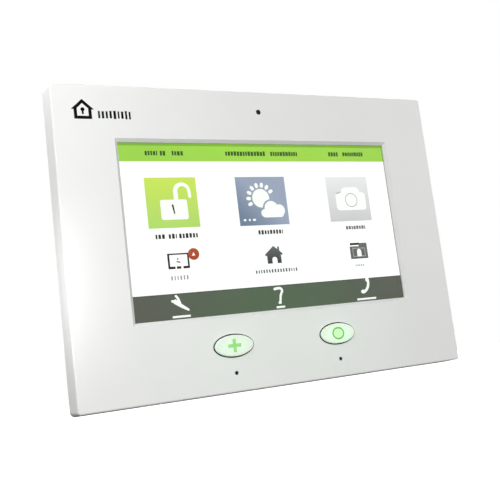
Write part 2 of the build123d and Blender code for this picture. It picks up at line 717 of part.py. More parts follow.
emergency_switch_plunger = disc([BUTTON_POINTS[0]], SWITCH_PLUNGER_R, SWITCH_PLUNGER_BACK, PLUNGER_TOP)
emergency_switch_plunger.part.label = "emergency_switch_plunger"
export_step(emergency_switch_plunger.part, "parts/emergency_switch_plunger.step")

home_switch_plunger = disc([BUTTON_POINTS[1]], SWITCH_PLUNGER_R, SWITCH_PLUNGER_BACK, PLUNGER_TOP)
home_switch_plunger.part.label = "home_switch_plunger"
export_step(home_switch_plunger.part, "parts/home_switch_plunger.step")

with BuildPart() as button_leds:
    with BuildSketch(level(KEYPAD_FRONT)):
        for x, z in BUTTON_POINTS:
            with Locations((x, z)):
                with GridLocations(BUTTON_LED_SPACING, 1, 2, 1):
                    Rectangle(BUTTON_LED[0], BUTTON_LED[1])
    extrude(amount=BUTTON_LED[2])
button_leds.part.label = "button_leds"
export_step(button_leds.part, "parts/button_leds.step")

microphones = disc(MIC_POINTS, MIC_R, KEYPAD_FRONT, MIC_TOP)
microphones.part.label = "microphones"
export_step(microphones.part, "parts/microphones.step")

with BuildPart() as microphone_boots:
    with BuildSketch(level(MIC_TOP)):
        with Locations(*MIC_POINTS):
            Circle(BOOT_R)
    extrude(amount=INNER_TOP - MIC_TOP)
    # a snout that fills the hole in the bezel, and the sound bore through it
    with BuildSketch(level(INNER_TOP)):
        with Locations(*MIC_POINTS):
            Circle(MIC_HOLE_R - HOLE_PLUG_GAP)
    extrude(amount=BOOT_TIP - INNER_TOP)
    with BuildSketch(level(MIC_TOP)):
        with Locations(*MIC_POINTS):
            Circle(BOOT_BORE_R)
    extrude(amount=BOOT_TIP - MIC_TOP, mode=Mode.SUBTRACT)
microphone_boots.part.label = "microphone_boots"
export_step(microphone_boots.part, "parts/microphone_boots.step")

# ================================================================ the camera
with BuildPart() as camera_window:
    with BuildSketch(level(CAMERA_WINDOW_BACK)):
        with Locations((0, CAMERA_Z)):
            Circle(CAMERA_WINDOW_R)
    extrude(amount=INNER_TOP - CAMERA_WINDOW_BACK)
    # the clear plug that fills the hole in the bezel
    with BuildSketch(level(INNER_TOP)):
        with Locations((0, CAMERA_Z)):
            Circle(CAMERA_HOLE_R - HOLE_PLUG_GAP)
    extrude(amount=CAMERA_WINDOW_TIP - INNER_TOP)
camera_window.part.label = "camera_window"
export_step(camera_window.part, "parts/camera_window.step")

with BuildPart() as camera_module:
    with BuildSketch(level(CAMERA_BOARD_FRONT)):
        with Locations((0, CAMERA_Z)):
            Rectangle(CAMERA_BODY, CAMERA_BODY)
    extrude(amount=CAMERA_BODY_TOP - CAMERA_BOARD_FRONT)
    with BuildSketch(level(CAMERA_BODY_TOP)):
        with Locations((0, CAMERA_Z)):
            Circle(CAMERA_BARREL_R)
    extrude(amount=CAMERA_BARREL_TOP - CAMERA_BODY_TOP)
    with BuildSketch(level(CAMERA_LENS_BACK)):
        with Locations((0, CAMERA_Z)):
            Circle(CAMERA_LENS_R)
    extrude(amount=CAMERA_BARREL_TOP - CAMERA_LENS_BACK, mode=Mode.SUBTRACT)
camera_module.part.label = "camera_module"
export_step(camera_module.part, "parts/camera_module.step")

camera_lens = disc([(0, CAMERA_Z)], CAMERA_LENS_R - CAMERA_LENS_GAP, CAMERA_LENS_BACK, CAMERA_BARREL_TOP)
camera_lens.part.label = "camera_lens"
export_step(camera_lens.part, "parts/camera_lens.step")

camera_board = slab(0, CAMERA_Z, CAMERA_BOARD[0], CAMERA_BOARD[1], CAMERA_BOARD_BACK, CAMERA_BOARD_FRONT)
camera_board.part.label = "camera_board"
export_step(camera_board.part, "parts/camera_board.step")

# ================================================================ chassis and main board
with BuildPart() as mid_chassis:
    with BuildSketch(level(CHASSIS_BACK)):
        with Locations((0, CHASSIS_Z)):
            RectangleRounded(CHASSIS_W, CHASSIS_H, CHASSIS_CORNER_R)
        with Locations(*CHASSIS_SCREW_POINTS):
            Circle(SMALL_SCREW[0], mode=Mode.SUBTRACT)
    extrude(amount=CHASSIS_FRONT - CHASSIS_BACK)
    # stand-offs for the main board
    with BuildSketch(level(BOARD_FRONT)):
        with Locations(*BOARD_SCREW_POINTS):
            Circle(SMALL_POST_R)
    extrude(amount=CHASSIS_BACK - BOARD_FRONT)
    with BuildSketch(level(BOARD_FRONT)):
        with Locations(*BOARD_SCREW_POINTS):
            Circle(SMALL_SCREW[2])
    extrude(amount=CHASSIS_FRONT - BOARD_FRONT, mode=Mode.SUBTRACT)
mid_chassis.part.label = "mid_chassis"
export_step(mid_chassis.part, "parts/mid_chassis.step")

chassis_screws = rear_screws(CHASSIS_SCREW_POINTS, SMALL_SCREW, CHASSIS_BACK, CHASSIS_SCREW_TIP, HEAD_T)
chassis_screws.part.label = "chassis_screws"
export_step(chassis_screws.part, "parts/chassis_screws.step")

with BuildPart() as main_board:
    with BuildSketch(level(BOARD_BACK)):
        with Locations((BOARD_X, BOARD_Z)):
            RectangleRounded(BOARD_W, BOARD_H, BOARD_CORNER_R)
        with Locations(*BOARD_SCREW_POINTS):
            Circle(SMALL_SCREW[0], mode=Mode.SUBTRACT)
        # a notch that the terminal block and its wires pass through
        board_bottom = BOARD_Z - BOARD_H / 2
        with Locations((TERMINAL_X, (board_bottom + NOTCH_TOP) / 2)):
            Rectangle(NOTCH_W, NOTCH_TOP - board_bottom, mode=Mode.SUBTRACT)
    extrude(amount=BOARD_FRONT - BOARD_BACK)
main_board.part.label = "main_board"
export_step(main_board.part, "parts/main_board.step")

board_screws = rear_screws(BOARD_SCREW_POINTS, SMALL_SCREW, BOARD_BACK, BOARD_SCREW_TIP, HEAD_T)
board_screws.part.label = "board_screws"
export_step(board_screws.part, "parts/board_screws.step")


def board_block(spec):
    """A component that stands on the wall side of the main board."""
    x, z, width, tall, thick = spec
    return slab(x, z, width, tall, BOARD_BACK - thick, BOARD_BACK)


processor = board_block(PROCESSOR)
processor.part.label = "processor"
export_step(processor.part, "parts/processor.step")

with BuildPart() as memory_chips:
    for chip_x, chip_z, chip_w, chip_h, chip_t in MEMORY_CHIPS:
        with BuildSketch(level(BOARD_BACK - chip_t)):
            with Locations((chip_x, chip_z)):
                Rectangle(chip_w, chip_h)
        extrude(amount=chip_t)
memory_chips.part.label = "memory_chips"
export_step(memory_chips.part, "parts/memory_chips.step")

with BuildPart() as power_coils:
    for coil_x, coil_z, coil_w, coil_h, coil_t in POWER_COILS:
        with BuildSketch(level(BOARD_BACK - coil_t)):
            with Locations((coil_x, coil_z)):
                RectangleRounded(coil_w, coil_h, COIL_CORNER_R)
        extrude(amount=coil_t)
power_coils.part.label = "power_coils"
export_step(power_coils.part, "parts/power_coils.step")

with BuildPart() as shield_cans:
    for can_x, can_z, can_w, can_h, can_t in SHIELDS:
        with BuildSketch(level(BOARD_BACK - can_t)):
            with Locations((can_x, can_z)):
                Rectangle(can_w, can_h)
        extrude(amount=can_t)
        with BuildSketch(level(BOARD_BACK - can_t + SHIELD_T)):
            with Locations((can_x, can_z)):
                Rectangle(can_w - 2 * SHIELD_T, can_h - 2 * SHIELD_T)
        extrude(amount=can_t - SHIELD_T, mode=Mode.SUBTRACT)
shield_cans.part.label = "shield_cans"
export_step(shield_cans.part, "parts/shield_cans.step")

with BuildPart() as flex_connectors:
    for plug_x, plug_z, plug_w, plug_h, plug_t in (LCD_CONNECTOR, KEYPAD_CONNECTOR, CAMERA_CONNECTOR):
        with BuildSketch(level(BOARD_BACK - plug_t)):
            with Locations((plug_x, plug_z)):
                Rectangle(plug_w, plug_h)
        extrude(amount=plug_t)
flex_connectors.part.label = "flex_connectors"
export_step(flex_connectors.part, "parts/flex_connectors.step")

memory_card_slot = board_block(CARD_SLOT)
memory_card_slot.part.label = "memory_card_slot"
export_step(memory_card_slot.part, "parts/memory_card_slot.step")

clock_battery = disc([CLOCK_CELL], CLOCK_CELL_R, BOARD_BACK - CLOCK_CELL_T, BOARD_BACK)
clock_battery.part.label = "clock_battery"
export_step(clock_battery.part, "parts/clock_battery.step")

# the cellular card lies flat over the board, with one edge in its socket
card_edge = CARD_SOCKET[1]
with BuildPart() as cellular_card:
    with BuildSketch(level(CARD_BACK)):
        with Locations((CARD_SOCKET[0], card_edge + CARD_L / 2)):
            Rectangle(CARD_TONGUE_W, CARD_L)
    extrude(amount=CARD_FRONT - CARD_BACK)
    with BuildSketch(level(CARD_BACK - CARD_CAN[2])):
        with Locations((CARD_SOCKET[0], card_edge + CARD_L / 2 + CARD_CAN_RISE)):
            Rectangle(CARD_CAN[0], CARD_CAN[1])
    extrude(amount=CARD_CAN[2])
cellular_card.part.label = "cellular_card"
export_step(cellular_card.part, "parts/cellular_card.step")

with BuildPart() as cellular_socket:
    with BuildSketch(level(BOARD_BACK - CARD_SOCKET[4])):
        with Locations((CARD_SOCKET[0], CARD_SOCKET[1])):
            Rectangle(CARD_SOCKET[2], CARD_SOCKET[3])
    extrude(amount=CARD_SOCKET[4])
    # the mouth that the card's edge goes into
    with BuildSketch(level(CARD_BACK)):
        with Locations((CARD_SOCKET[0], card_edge + CARD_SOCKET[3] / 4)):
            Rectangle(CARD_TONGUE_W, CARD_SOCKET[3] / 2)
    extrude(amount=CARD_FRONT - CARD_BACK, mode=Mode.SUBTRACT)
cellular_socket.part.label = "cellular_socket"
export_step(cellular_socket.part, "parts/cellular_socket.step")

with BuildPart() as sensor_radio_card:
    with BuildSketch(level(RADIO_BACK)):
        with Locations((RADIO[0], RADIO[1])):
            Rectangle(RADIO[2], RADIO[3])
    extrude(amount=RADIO_FRONT - RADIO_BACK)
    # its pin header, along one long edge
    with BuildSketch(level(RADIO_FRONT)):
        with Locations((RADIO[0] + RADIO[2] / 2 - RADIO_PINS[0], RADIO[1])):
            Rectangle(*RADIO_PINS)
    extrude(amount=BOARD_BACK - RADIO_FRONT)
sensor_radio_card.part.label = "sensor_radio_card"
export_step(sensor_radio_card.part, "parts/sensor_radio_card.step")

with BuildPart() as terminal_block:
    with BuildSketch(level(TERMINAL_BACK)):
        with Locations((TERMINAL_X, TERMINAL_Z)):
            Rectangle(TERMINAL_W, TERMINAL_H)
    extrude(amount=TERMINAL_FRONT - TERMINAL_BACK)
    # wells for the clamp screws, which face the wall
    with BuildSketch(level(TERMINAL_BACK)):
        with Locations((TERMINAL_X, TERMINAL_Z)):
            with GridLocations(TERMINAL_PITCH, 1, 2, 1):
                Circle(TERMINAL_SCREW_R + LIP_GAP)
    extrude(amount=TERMINAL_WELL, mode=Mode.SUBTRACT)
    # wire mouths in the upper side
    with BuildSketch(Plane.XY.offset(TERMINAL_Z + TERMINAL_H / 2)):
        with Locations((TERMINAL_X, -TERMINAL_MOUTH_IN)):
            with GridLocations(TERMINAL_PITCH, 1, 2, 1):
                Rectangle(*TERMINAL_MOUTH)
    extrude(amount=-TERMINAL_MOUTH_DEPTH, mode=Mode.SUBTRACT)
terminal_block.part.label = "terminal_block"
export_step(terminal_block.part, "parts/terminal_block.step")

terminal_screw_points = [(TERMINAL_X + side * TERMINAL_PITCH / 2, TERMINAL_Z) for side in (-1, 1)]
with BuildPart() as terminal_screws:
    with BuildSketch(level(TERMINAL_SCREW_BACK)):
        with Locations(*terminal_screw_points):
            Circle(TERMINAL_SCREW_R)
    extrude(amount=TERMINAL_BACK + TERMINAL_WELL - TERMINAL_SCREW_BACK)
    with BuildSketch(level(TERMINAL_SCREW_BACK)):
        with Locations(*terminal_screw_points):
            Rectangle(2 * TERMINAL_SCREW_R, TERMINAL_SCREW_SLOT[0])
    extrude(amount=TERMINAL_SCREW_SLOT[1], mode=Mode.SUBTRACT)
terminal_screws.part.label = "terminal_screws"
export_step(terminal_screws.part, "parts/terminal_screws.step")

# ================================================================ flat flex cables
chassis_bottom = CHASSIS_Z - CHASSIS_H / 2
chassis_top = CHASSIS_Z + CHASSIS_H / 2
module_bottom = SCREEN_Z - MODULE_H / 2

lcd_route = [
    (LCD_FLEX_HEIGHT, module_bottom),
    (LCD_FLEX_HEIGHT, chassis_bottom - FLEX_EDGE_GAP),
    (FLEX_AT_BOARD, chassis_bottom - FLEX_EDGE_GAP),
    (FLEX_AT_BOARD, LCD_CONNECTOR[1] - LCD_CONNECTOR[3] / 2),
]
lcd_flex = ribbon(LCD_CONNECTOR[0], LCD_CONNECTOR[2] - 2 * FLEX_MARGIN, lcd_route, FLEX_T)
lcd_flex.part.label = "lcd_flex"
export_step(lcd_flex.part, "parts/lcd_flex.step")

keypad_route = [
    (KEYPAD_BACK - FLEX_T / 2, BUTTON_Z - FLEX_MARGIN),
    (KEYPAD_BACK - FLEX_T / 2, chassis_bottom - FLEX_EDGE_GAP),
    (FLEX_AT_BOARD, chassis_bottom - FLEX_EDGE_GAP),
    (FLEX_AT_BOARD, KEYPAD_CONNECTOR[1] - KEYPAD_CONNECTOR[3] / 2),
]
keypad_flex = ribbon(KEYPAD_CONNECTOR[0], KEYPAD_CONNECTOR[2] - 2 * FLEX_MARGIN, keypad_route, FLEX_T)
keypad_flex.part.label = "keypad_flex"
export_step(keypad_flex.part, "parts/keypad_flex.step")

camera_route = [
    (CAMERA_BOARD_BACK - FLEX_T / 2, CAMERA_Z),
    (CAMERA_BOARD_BACK - FLEX_T / 2, chassis_top + FLEX_EDGE_GAP),
    (FLEX_AT_BOARD, chassis_top + FLEX_EDGE_GAP),
    (FLEX_AT_BOARD, CAMERA_CONNECTOR[1] + CAMERA_CONNECTOR[3] / 2),
]
camera_flex = ribbon(CAMERA_CONNECTOR[0], CAMERA_CONNECTOR[2] - 2 * FLEX_MARGIN, camera_route, FLEX_T)
camera_flex.part.label = "camera_flex"
export_step(camera_flex.part, "parts/camera_flex.step")

# ================================================================ antennas, tamper switch and sound
ANTENNA_TOP = INNER_H / 2


def antenna(place):
    """A thin printed strip that lies against the top wall of the bezel."""
    x, length = place
    with BuildPart() as strip:
        with BuildSketch(Plane.XY.offset(ANTENNA_TOP - ANTENNA_T)):
            with Locations((x, -(ANTENNA_BACK + ANTENNA_FRONT) / 2)):
                Rectangle(length, ANTENNA_FRONT - ANTENNA_BACK)
        extrude(amount=ANTENNA_T)
    return strip


wifi_antenna = antenna(WIFI_ANTENNA)
wifi_antenna.part.label = "wifi_antenna"
export_step(wifi_antenna.part, "parts/wifi_antenna.step")

cell_antenna = antenna(CELL_ANTENNA)
cell_antenna.part.label = "cell_antenna"
export_step(cell_antenna.part, "parts/cell_antenna.step")

with BuildPart() as tamper_switch:
    with BuildSketch(level(TAMPER_BODY_BACK)):
        with Locations((TAMPER_X, TAMPER_Z)):
            Rectangle(TAMPER_BODY, TAMPER_BODY)
    extrude(amount=BOARD_BACK - TAMPER_BODY_BACK)
    with BuildSketch(level(TAMPER_BODY_BACK)):
        with Locations((TAMPER_X, TAMPER_Z)):
            Circle(TAMPER_STEM_R + FIT_GAP)
    extrude(amount=TAMPER_BORE_TOP - TAMPER_BODY_BACK, mode=Mode.SUBTRACT)
tamper_switch.part.label = "tamper_switch"
export_step(tamper_switch.part, "parts/tamper_switch.step")

with BuildPart() as tamper_plunger:
    for radius, back, front in (
        (TAMPER_TIP_R, TAMPER_TIP_BACK, TAMPER_FLANGE[0]),
        (TAMPER_FLANGE_R, TAMPER_FLANGE[0], TAMPER_FLANGE[1]),
        (TAMPER_STEM_R, TAMPER_FLANGE[1], TAMPER_STEM_TOP),
    ):
        with BuildSketch(level(back)):
            with Locations((TAMPER_X, TAMPER_Z)):
                Circle(radius)
        extrude(amount=front - back)
    fillet(tamper_plunger.faces().sort_by(Axis.Y)[-1].edges(), TAMPER_TIP_ROUND)
tamper_plunger.part.label = "tamper_plunger"
export_step(tamper_plunger.part, "parts/tamper_plunger.step")

SPEAKER_H = SPEAKER_TOP_Z - SPEAKER_BOTTOM_Z
SPEAKER_D = SPEAKER_FRONT - SPEAKER_BACK
with BuildPart() as speaker_enclosure:
    with BuildSketch(Plane.XY.offset(SPEAKER_BOTTOM_Z)):
        with Locations((SPEAKER_X, -SOUND_HEIGHT)):
            RectangleRounded(SPEAKER_W, SPEAKER_D, SPEAKER_CORNER_R)
    extrude(amount=SPEAKER_H)
    with BuildSketch(Plane.XY.offset(SPEAKER_BOTTOM_Z)):
        with Locations((SPEAKER_X, -SOUND_HEIGHT)):
            Rectangle(SPEAKER_W - 2 * CONE_MARGIN, SPEAKER_D - 2 * CONE_MARGIN)
    extrude(amount=SPEAKER_H - CONE_MARGIN, mode=Mode.SUBTRACT)
speaker_enclosure.part.label = "speaker_enclosure"
export_step(speaker_enclosure.part, "parts/speaker_enclosure.step")

with BuildPart() as speaker_cone:
    with BuildSketch(Plane.XY.offset(SPEAKER_BOTTOM_Z)):
        with Locations((SPEAKER_X, -SOUND_HEIGHT)):
            Rectangle(SPEAKER_W - 2 * CONE_MARGIN, SPEAKER_D - 2 * CONE_MARGIN)
    extrude(amount=CONE_T)
    # the magnet behind the cone
    with BuildSketch(Plane.XY.offset(SPEAKER_BOTTOM_Z + CONE_T)):
        with Locations((SPEAKER_X, -SOUND_HEIGHT)):
            Circle(SPEAKER_D / 4)
    extrude(amount=SPEAKER_H / 3)
speaker_cone.part.label = "speaker_cone"
export_step(speaker_cone.part, "parts/speaker_cone.step")

with BuildPart() as speaker_gasket:
    with BuildSketch(Plane.XY.offset(BOTTOM_INNER_Z)):
        with Locations((SPEAKER_X, -SOUND_HEIGHT)):
            Rectangle(SPEAKER_W - 2 * SPEAKER_GASKET_INSET, SPEAKER_D - 2 * SPEAKER_GASKET_INSET)
            Rectangle(SPEAKER_W - 2 * CONE_MARGIN, SPEAKER_D - 2 * CONE_MARGIN, mode=Mode.SUBTRACT)
    extrude(amount=SPEAKER_BOTTOM_Z - BOTTOM_INNER_Z)
speaker_gasket.part.label = "speaker_gasket"
export_step(speaker_gasket.part, "parts/speaker_gasket.step")

with BuildPart() as siren:
    with BuildSketch(Plane.XY.offset(BOTTOM_INNER_Z)):
        with Locations((SIREN_X, -SOUND_HEIGHT)):
            Circle(SIREN_R)
    extrude(amount=SIREN_LENGTH)
    with BuildSketch(Plane.XY.offset(BOTTOM_INNER_Z)):
        with Locations((SIREN_X, -SOUND_HEIGHT)):
            Circle(SIREN_SOUND_R)
    extrude(amount=SIREN_RECESS, mode=Mode.SUBTRACT)
siren.part.label = "siren"
export_step(siren.part, "parts/siren.step")

# ================================================================ the battery
battery_pack = slab(BATTERY_X, BATTERY_Z, BATTERY_W, BATTERY_H, BATTERY_BACK, BATTERY_FRONT, BATTERY_CORNER_R)
battery_pack.part.label = "battery_pack"
export_step(battery_pack.part, "parts/battery_pack.step")

foam_w = BATTERY_W - 2 * BATTERY_FOAM_INSET
foam_h = BATTERY_H - 2 * BATTERY_FOAM_INSET
battery_foam = slab(BATTERY_X, BATTERY_Z, foam_w, foam_h, BATTERY_FRONT, CHASSIS_BACK)
battery_foam.part.label = "battery_foam"
export_step(battery_foam.part, "parts/battery_foam.step")

battery_socket = board_block(BATTERY_SOCKET)
battery_socket.part.label = "battery_socket"
export_step(battery_socket.part, "parts/battery_socket.step")

plug_back = BOARD_BACK - BATTERY_SOCKET[4] / 2 - PLUG_T / 2
plug_left = BATTERY_SOCKET[0] + BATTERY_SOCKET[2] / 2
battery_plug = slab(
    plug_left + PLUG_W / 2, BATTERY_SOCKET[1], PLUG_W, PLUG_H, plug_back, plug_back + PLUG_T
)
battery_plug.part.label = "battery_plug"
export_step(battery_plug.part, "parts/battery_plug.step")

# two short wires from the plug to the pack
with BuildPart() as battery_lead:
    with BuildSketch(Plane.YZ.offset(plug_left + PLUG_W)):
        with Locations((-plug_back - PLUG_T / 2, BATTERY_SOCKET[1])):
            with GridLocations(1, LEAD_PITCH, 1, 2):
                Circle(LEAD_R)
    extrude(amount=BATTERY_X - BATTERY_W / 2 - plug_left - PLUG_W)
battery_lead.part.label = "battery_lead"
export_step(battery_lead.part, "parts/battery_lead.step")

# ================================================================ the wall plate
with BuildPart() as wall_plate:
    with BuildSketch(level(0)):
        RectangleRounded(PLATE_W, PLATE_H, PLATE_CORNER_R)
    extrude(amount=PLATE_RIM_TOP)
    with BuildSketch(level(PLATE_T)):
        RectangleRounded(PLATE_W - 2 * PLATE_RIM_T, PLATE_H - 2 * PLATE_RIM_T, PLATE_CORNER_R - PLATE_RIM_T)
    extrude(amount=PLATE_RIM_TOP - PLATE_T, mode=Mode.SUBTRACT)
    # a stiffening collar round the opening for the wires
    with BuildSketch(level(PLATE_T)):
        RectangleRounded(
            PLATE_OPENING[0] + 2 * PLATE_RIM_T,
            PLATE_OPENING[1] + 2 * PLATE_RIM_T,
            PLATE_CORNER_R,
        )
    extrude(amount=PLATE_RIM_TOP - PLATE_T)
    with BuildSketch(level(0)):
        RectangleRounded(PLATE_OPENING[0], PLATE_OPENING[1], PLATE_CORNER_R - PLATE_RIM_T)
    extrude(amount=PLATE_RIM_TOP, mode=Mode.SUBTRACT)
    # holes for four wall screws and for the two screws of a wiring box
    with BuildSketch(level(0)):
        with GridLocations(WALL_SCREW_SPACING[0], WALL_SCREW_SPACING[1], 2, 2):
            Circle(WALL_SCREW_R)
        with GridLocations(1, BOX_SCREW_SPACING, 1, 2):
            Circle(BOX_SCREW_R)
    extrude(amount=PLATE_RIM_TOP, mode=Mode.SUBTRACT)
    # four hooks: a shank through the back shell, and a tip turned up behind it
    with BuildSketch(level(PLATE_T)):
        for hook_x, hook_top in HOOK_POINTS:
            with Locations((hook_x, hook_top - HOOK_T / 2)):
                Rectangle(HOOK_W, HOOK_T)
    extrude(amount=HOOK_TIP_FRONT - PLATE_T)
    with BuildSketch(level(HOOK_TIP_BACK)):
        for hook_x, hook_top in HOOK_POINTS:
            with Locations((hook_x, hook_top + HOOK_TIP / 2)):
                Rectangle(HOOK_W, HOOK_TIP)
    extrude(amount=HOOK_TIP_FRONT - HOOK_TIP_BACK)
wall_plate.part.label = "wall_plate"
export_step(wall_plate.part, "parts/wall_plate.step")
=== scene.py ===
"""The looks of a wall-mounted alarm keypad panel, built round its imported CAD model.

Row frame, metres: +X to the right as someone faces the panel, +Z up, -Y towards that person.
Flat artwork is laid out in millimetres, (right, up): on the screen from its middle, and on the case from
the top left corner of its front.
"""

import math
import random

import bmesh
import bpy
from mathutils import Matrix, Quaternion, Vector


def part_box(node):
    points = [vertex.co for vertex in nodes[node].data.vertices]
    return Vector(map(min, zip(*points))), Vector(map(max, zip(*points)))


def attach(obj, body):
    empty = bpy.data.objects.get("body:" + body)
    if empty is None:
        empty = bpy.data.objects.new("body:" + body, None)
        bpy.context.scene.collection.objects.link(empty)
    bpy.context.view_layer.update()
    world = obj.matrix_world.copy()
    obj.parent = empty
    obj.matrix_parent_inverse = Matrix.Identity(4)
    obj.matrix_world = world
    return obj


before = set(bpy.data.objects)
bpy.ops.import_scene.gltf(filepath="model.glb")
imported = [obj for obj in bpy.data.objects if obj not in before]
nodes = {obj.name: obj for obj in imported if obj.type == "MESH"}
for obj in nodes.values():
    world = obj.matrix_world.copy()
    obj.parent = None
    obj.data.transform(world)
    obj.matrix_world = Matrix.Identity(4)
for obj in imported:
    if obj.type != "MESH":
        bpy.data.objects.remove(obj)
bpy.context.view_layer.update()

MM = 0.001
scene = bpy.context.scene
case_low, case_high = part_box("front_bezel")
FRONT_Y = case_low.y
ACROSS = (1.0, 0.0, 0.0)
INWARD = (0.0, 1.0, 0.0)
UPWARD = (0.0, 0.0, 1.0)


def node_centre(name):
    """The middle of a CAD node's box."""
    low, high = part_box(name)
    return (low + high) / 2


# ---------------------------------------------------------------- camera, floor and light
EYE = Vector((-0.1759, FRONT_Y - 0.3284, -0.0566))
AIM = Vector((-0.0147, FRONT_Y, -0.00755))
ROLL_DEGREES = -7.0
SENSOR_MM = 36.0
LENS_MM = 52.8
NEAREST = 0.01
FARTHEST = 50.0
SOFT_WHITE = (1.0, 1.0, 0.985)
DIMMEST_SKY = 0.02
BRIGHTEST_SKY = 0.66
SKY_STARTS = -0.3
FLOOR_HALF_SIDE = 12.0
FLOOR_DROP = 0.6
FLOOR_GLOW = 0.98


def turn_towards(thing, place, aim, roll=0.0):
    """Puts a camera or light at this place, looking along its own -Z at the aim."""
    thing.location = place
    thing.rotation_mode = "QUATERNION"
    level = (Vector(aim) - Vector(place)).to_track_quat("-Z", "Y")
    thing.rotation_quaternion = level @ Quaternion(UPWARD, math.radians(roll))


def add_camera():
    """The camera stands low and to the left of the panel and looks up at it, turned a little clockwise."""
    data = bpy.data.cameras.new("camera")
    data.sensor_width = SENSOR_MM
    data.lens = LENS_MM
    data.clip_start = NEAREST
    data.clip_end = FARTHEST
    camera = bpy.data.objects.new("camera", data)
    scene.collection.objects.link(camera)
    turn_towards(camera, EYE, AIM, ROLL_DEGREES)
    scene.camera = camera


def add_area_light(name, place, aim, size, power, colour=SOFT_WHITE, mirrored=True):
    """A soft light that the camera never sees; it may also be kept out of all reflections and the glass."""
    data = bpy.data.lights.new(name, "AREA")
    data.shape = "RECTANGLE"
    data.size, data.size_y = size
    data.energy = power
    data.color = colour
    light = bpy.data.objects.new(name, data)
    scene.collection.objects.link(light)
    turn_towards(light, place, aim)
    light.visible_camera = False
    light.visible_glossy = mirrored
    light.visible_transmission = mirrored


def add_world():
    """White behind the object, and a dim even light round it that is brighter from above."""
    world = bpy.data.worlds.new("studio")
    scene.world = world
    world.use_nodes = True
    tree = world.node_tree
    tree.nodes.clear()
    direction = tree.nodes.new("ShaderNodeTexCoord")
    height = vector_maths(tree, "DOT_PRODUCT", direction.outputs["Generated"], UPWARD)
    strength = ramp(tree, height, DIMMEST_SKY, BRIGHTEST_SKY, SKY_STARTS, 1.0, "SMOOTHSTEP")
    around = tree.nodes.new("ShaderNodeBackground")
    behind = tree.nodes.new("ShaderNodeBackground")
    behind.inputs["Color"].default_value = (1.0, 1.0, 1.0, 1.0)
    path = tree.nodes.new("ShaderNodeLightPath")
    mix = tree.nodes.new("ShaderNodeMixShader")
    out = tree.nodes.new("ShaderNodeOutputWorld")
    tree.links.new(strength, around.inputs["Strength"])
    tree.links.new(path.outputs["Is Camera Ray"], mix.inputs["Fac"])
    tree.links.new(around.outputs["Background"], mix.inputs[1])
    tree.links.new(behind.outputs["Background"], mix.inputs[2])
    tree.links.new(mix.outputs["Shader"], out.inputs["Surface"])


def add_floor():
    """A wide pale floor well below the panel, which puts no light or shade on it."""
    paint = moulded("floor_paint", (0.93, 0.93, 0.93), (0.91, 0.91, 0.91), (0.7, 0.8), 60.0, 1e-4)
    shader = paint.node_tree.nodes["Principled BSDF"]
    shader.inputs["Emission Color"].default_value = (1.0, 1.0, 1.0, 1.0)
    shader.inputs["Emission Strength"].default_value = FLOOR_GLOW
    mesh = bpy.data.meshes.new("floor")
    bm = bmesh.new()
    bmesh.ops.create_grid(bm, x_segments=8, y_segments=8, size=FLOOR_HALF_SIDE)
    bmesh.ops.translate(bm, verts=bm.verts, vec=(0, 0, -FLOOR_DROP))
    bm.to_mesh(mesh)
    bm.free()
    floor = bpy.data.objects.new("floor", mesh)
    scene.collection.objects.link(floor)
    mesh.materials.append(paint)
    floor.visible_diffuse = False
    floor.visible_glossy = False
    floor.visible_transmission = False
    floor.visible_shadow = False


# ---------------------------------------------------------------- materials
def new_material(name):
    """A material with one Principled shader: returns it, its tree and the shader."""
    material = bpy.data.materials.new(name)
    material.use_nodes = True
    tree = material.node_tree
    tree.nodes.clear()
    shader = tree.nodes.new("ShaderNodeBsdfPrincipled")
    out = tree.nodes.new("ShaderNodeOutputMaterial")
    tree.links.new(shader.outputs["BSDF"], out.inputs["Surface"])
    return material, tree, shader


def own_place(tree):
    """The point of the surface, in the object's own metres."""
    return tree.nodes.new("ShaderNodeTexCoord").outputs["Object"]


def vector_maths(tree, operation, vector, constant=None):
    """The answer of one vector operation: a number for a dot product or a length, else a vector."""
    node = tree.nodes.new("ShaderNodeVectorMath")
    node.operation = operation
    tree.links.new(vector, node.inputs[0])
    if constant is not None:
        node.inputs[1].default_value = constant
    return node.outputs["Value" if operation in ("DOT_PRODUCT", "LENGTH") else "Vector"]


def noise(tree, scale, detail=3.0, rough=0.5, stretch=(1.0, 1.0, 1.0)):
    """A noise texture in the object's own metres; a bigger stretch makes it finer along that axis."""
    sizing = tree.nodes.new("ShaderNodeMapping")
    sizing.inputs["Scale"].default_value = stretch
    texture = tree.nodes.new("ShaderNodeTexNoise")
    texture.inputs["Scale"].default_value = scale
    texture.inputs["Detail"].default_value = detail
    texture.inputs["Roughness"].default_value = rough
    tree.links.new(own_place(tree), sizing.inputs["Vector"])
    tree.links.new(sizing.outputs["Vector"], texture.inputs["Vector"])
    return texture.outputs["Fac"]


def ramp(tree, value, low, high, start=0.3, end=0.7, curve="LINEAR"):
    """A number that goes from low to high as the value goes from start to end."""
    node = tree.nodes.new("ShaderNodeMapRange")
    node.interpolation_type = curve
    node.inputs["From Min"].default_value = start
    node.inputs["From Max"].default_value = end
    node.inputs["To Min"].default_value = low
    node.inputs["To Max"].default_value = high
    tree.links.new(value, node.inputs["Value"])
    return node.outputs["Result"]


def blend(tree, share, first, second):
    """A colour between two; each is a plain colour or another node's output."""
    node = tree.nodes.new("ShaderNodeMix")
    node.data_type = "RGBA"
    tree.links.new(share, node.inputs["Factor"])
    for socket, colour in ((node.inputs["A"], first), (node.inputs["B"], second)):
        if isinstance(colour, bpy.types.NodeSocket):
            tree.links.new(colour, socket)
        else:
            socket.default_value = (*colour[:3], 1.0)
    return node.outputs["Result"]


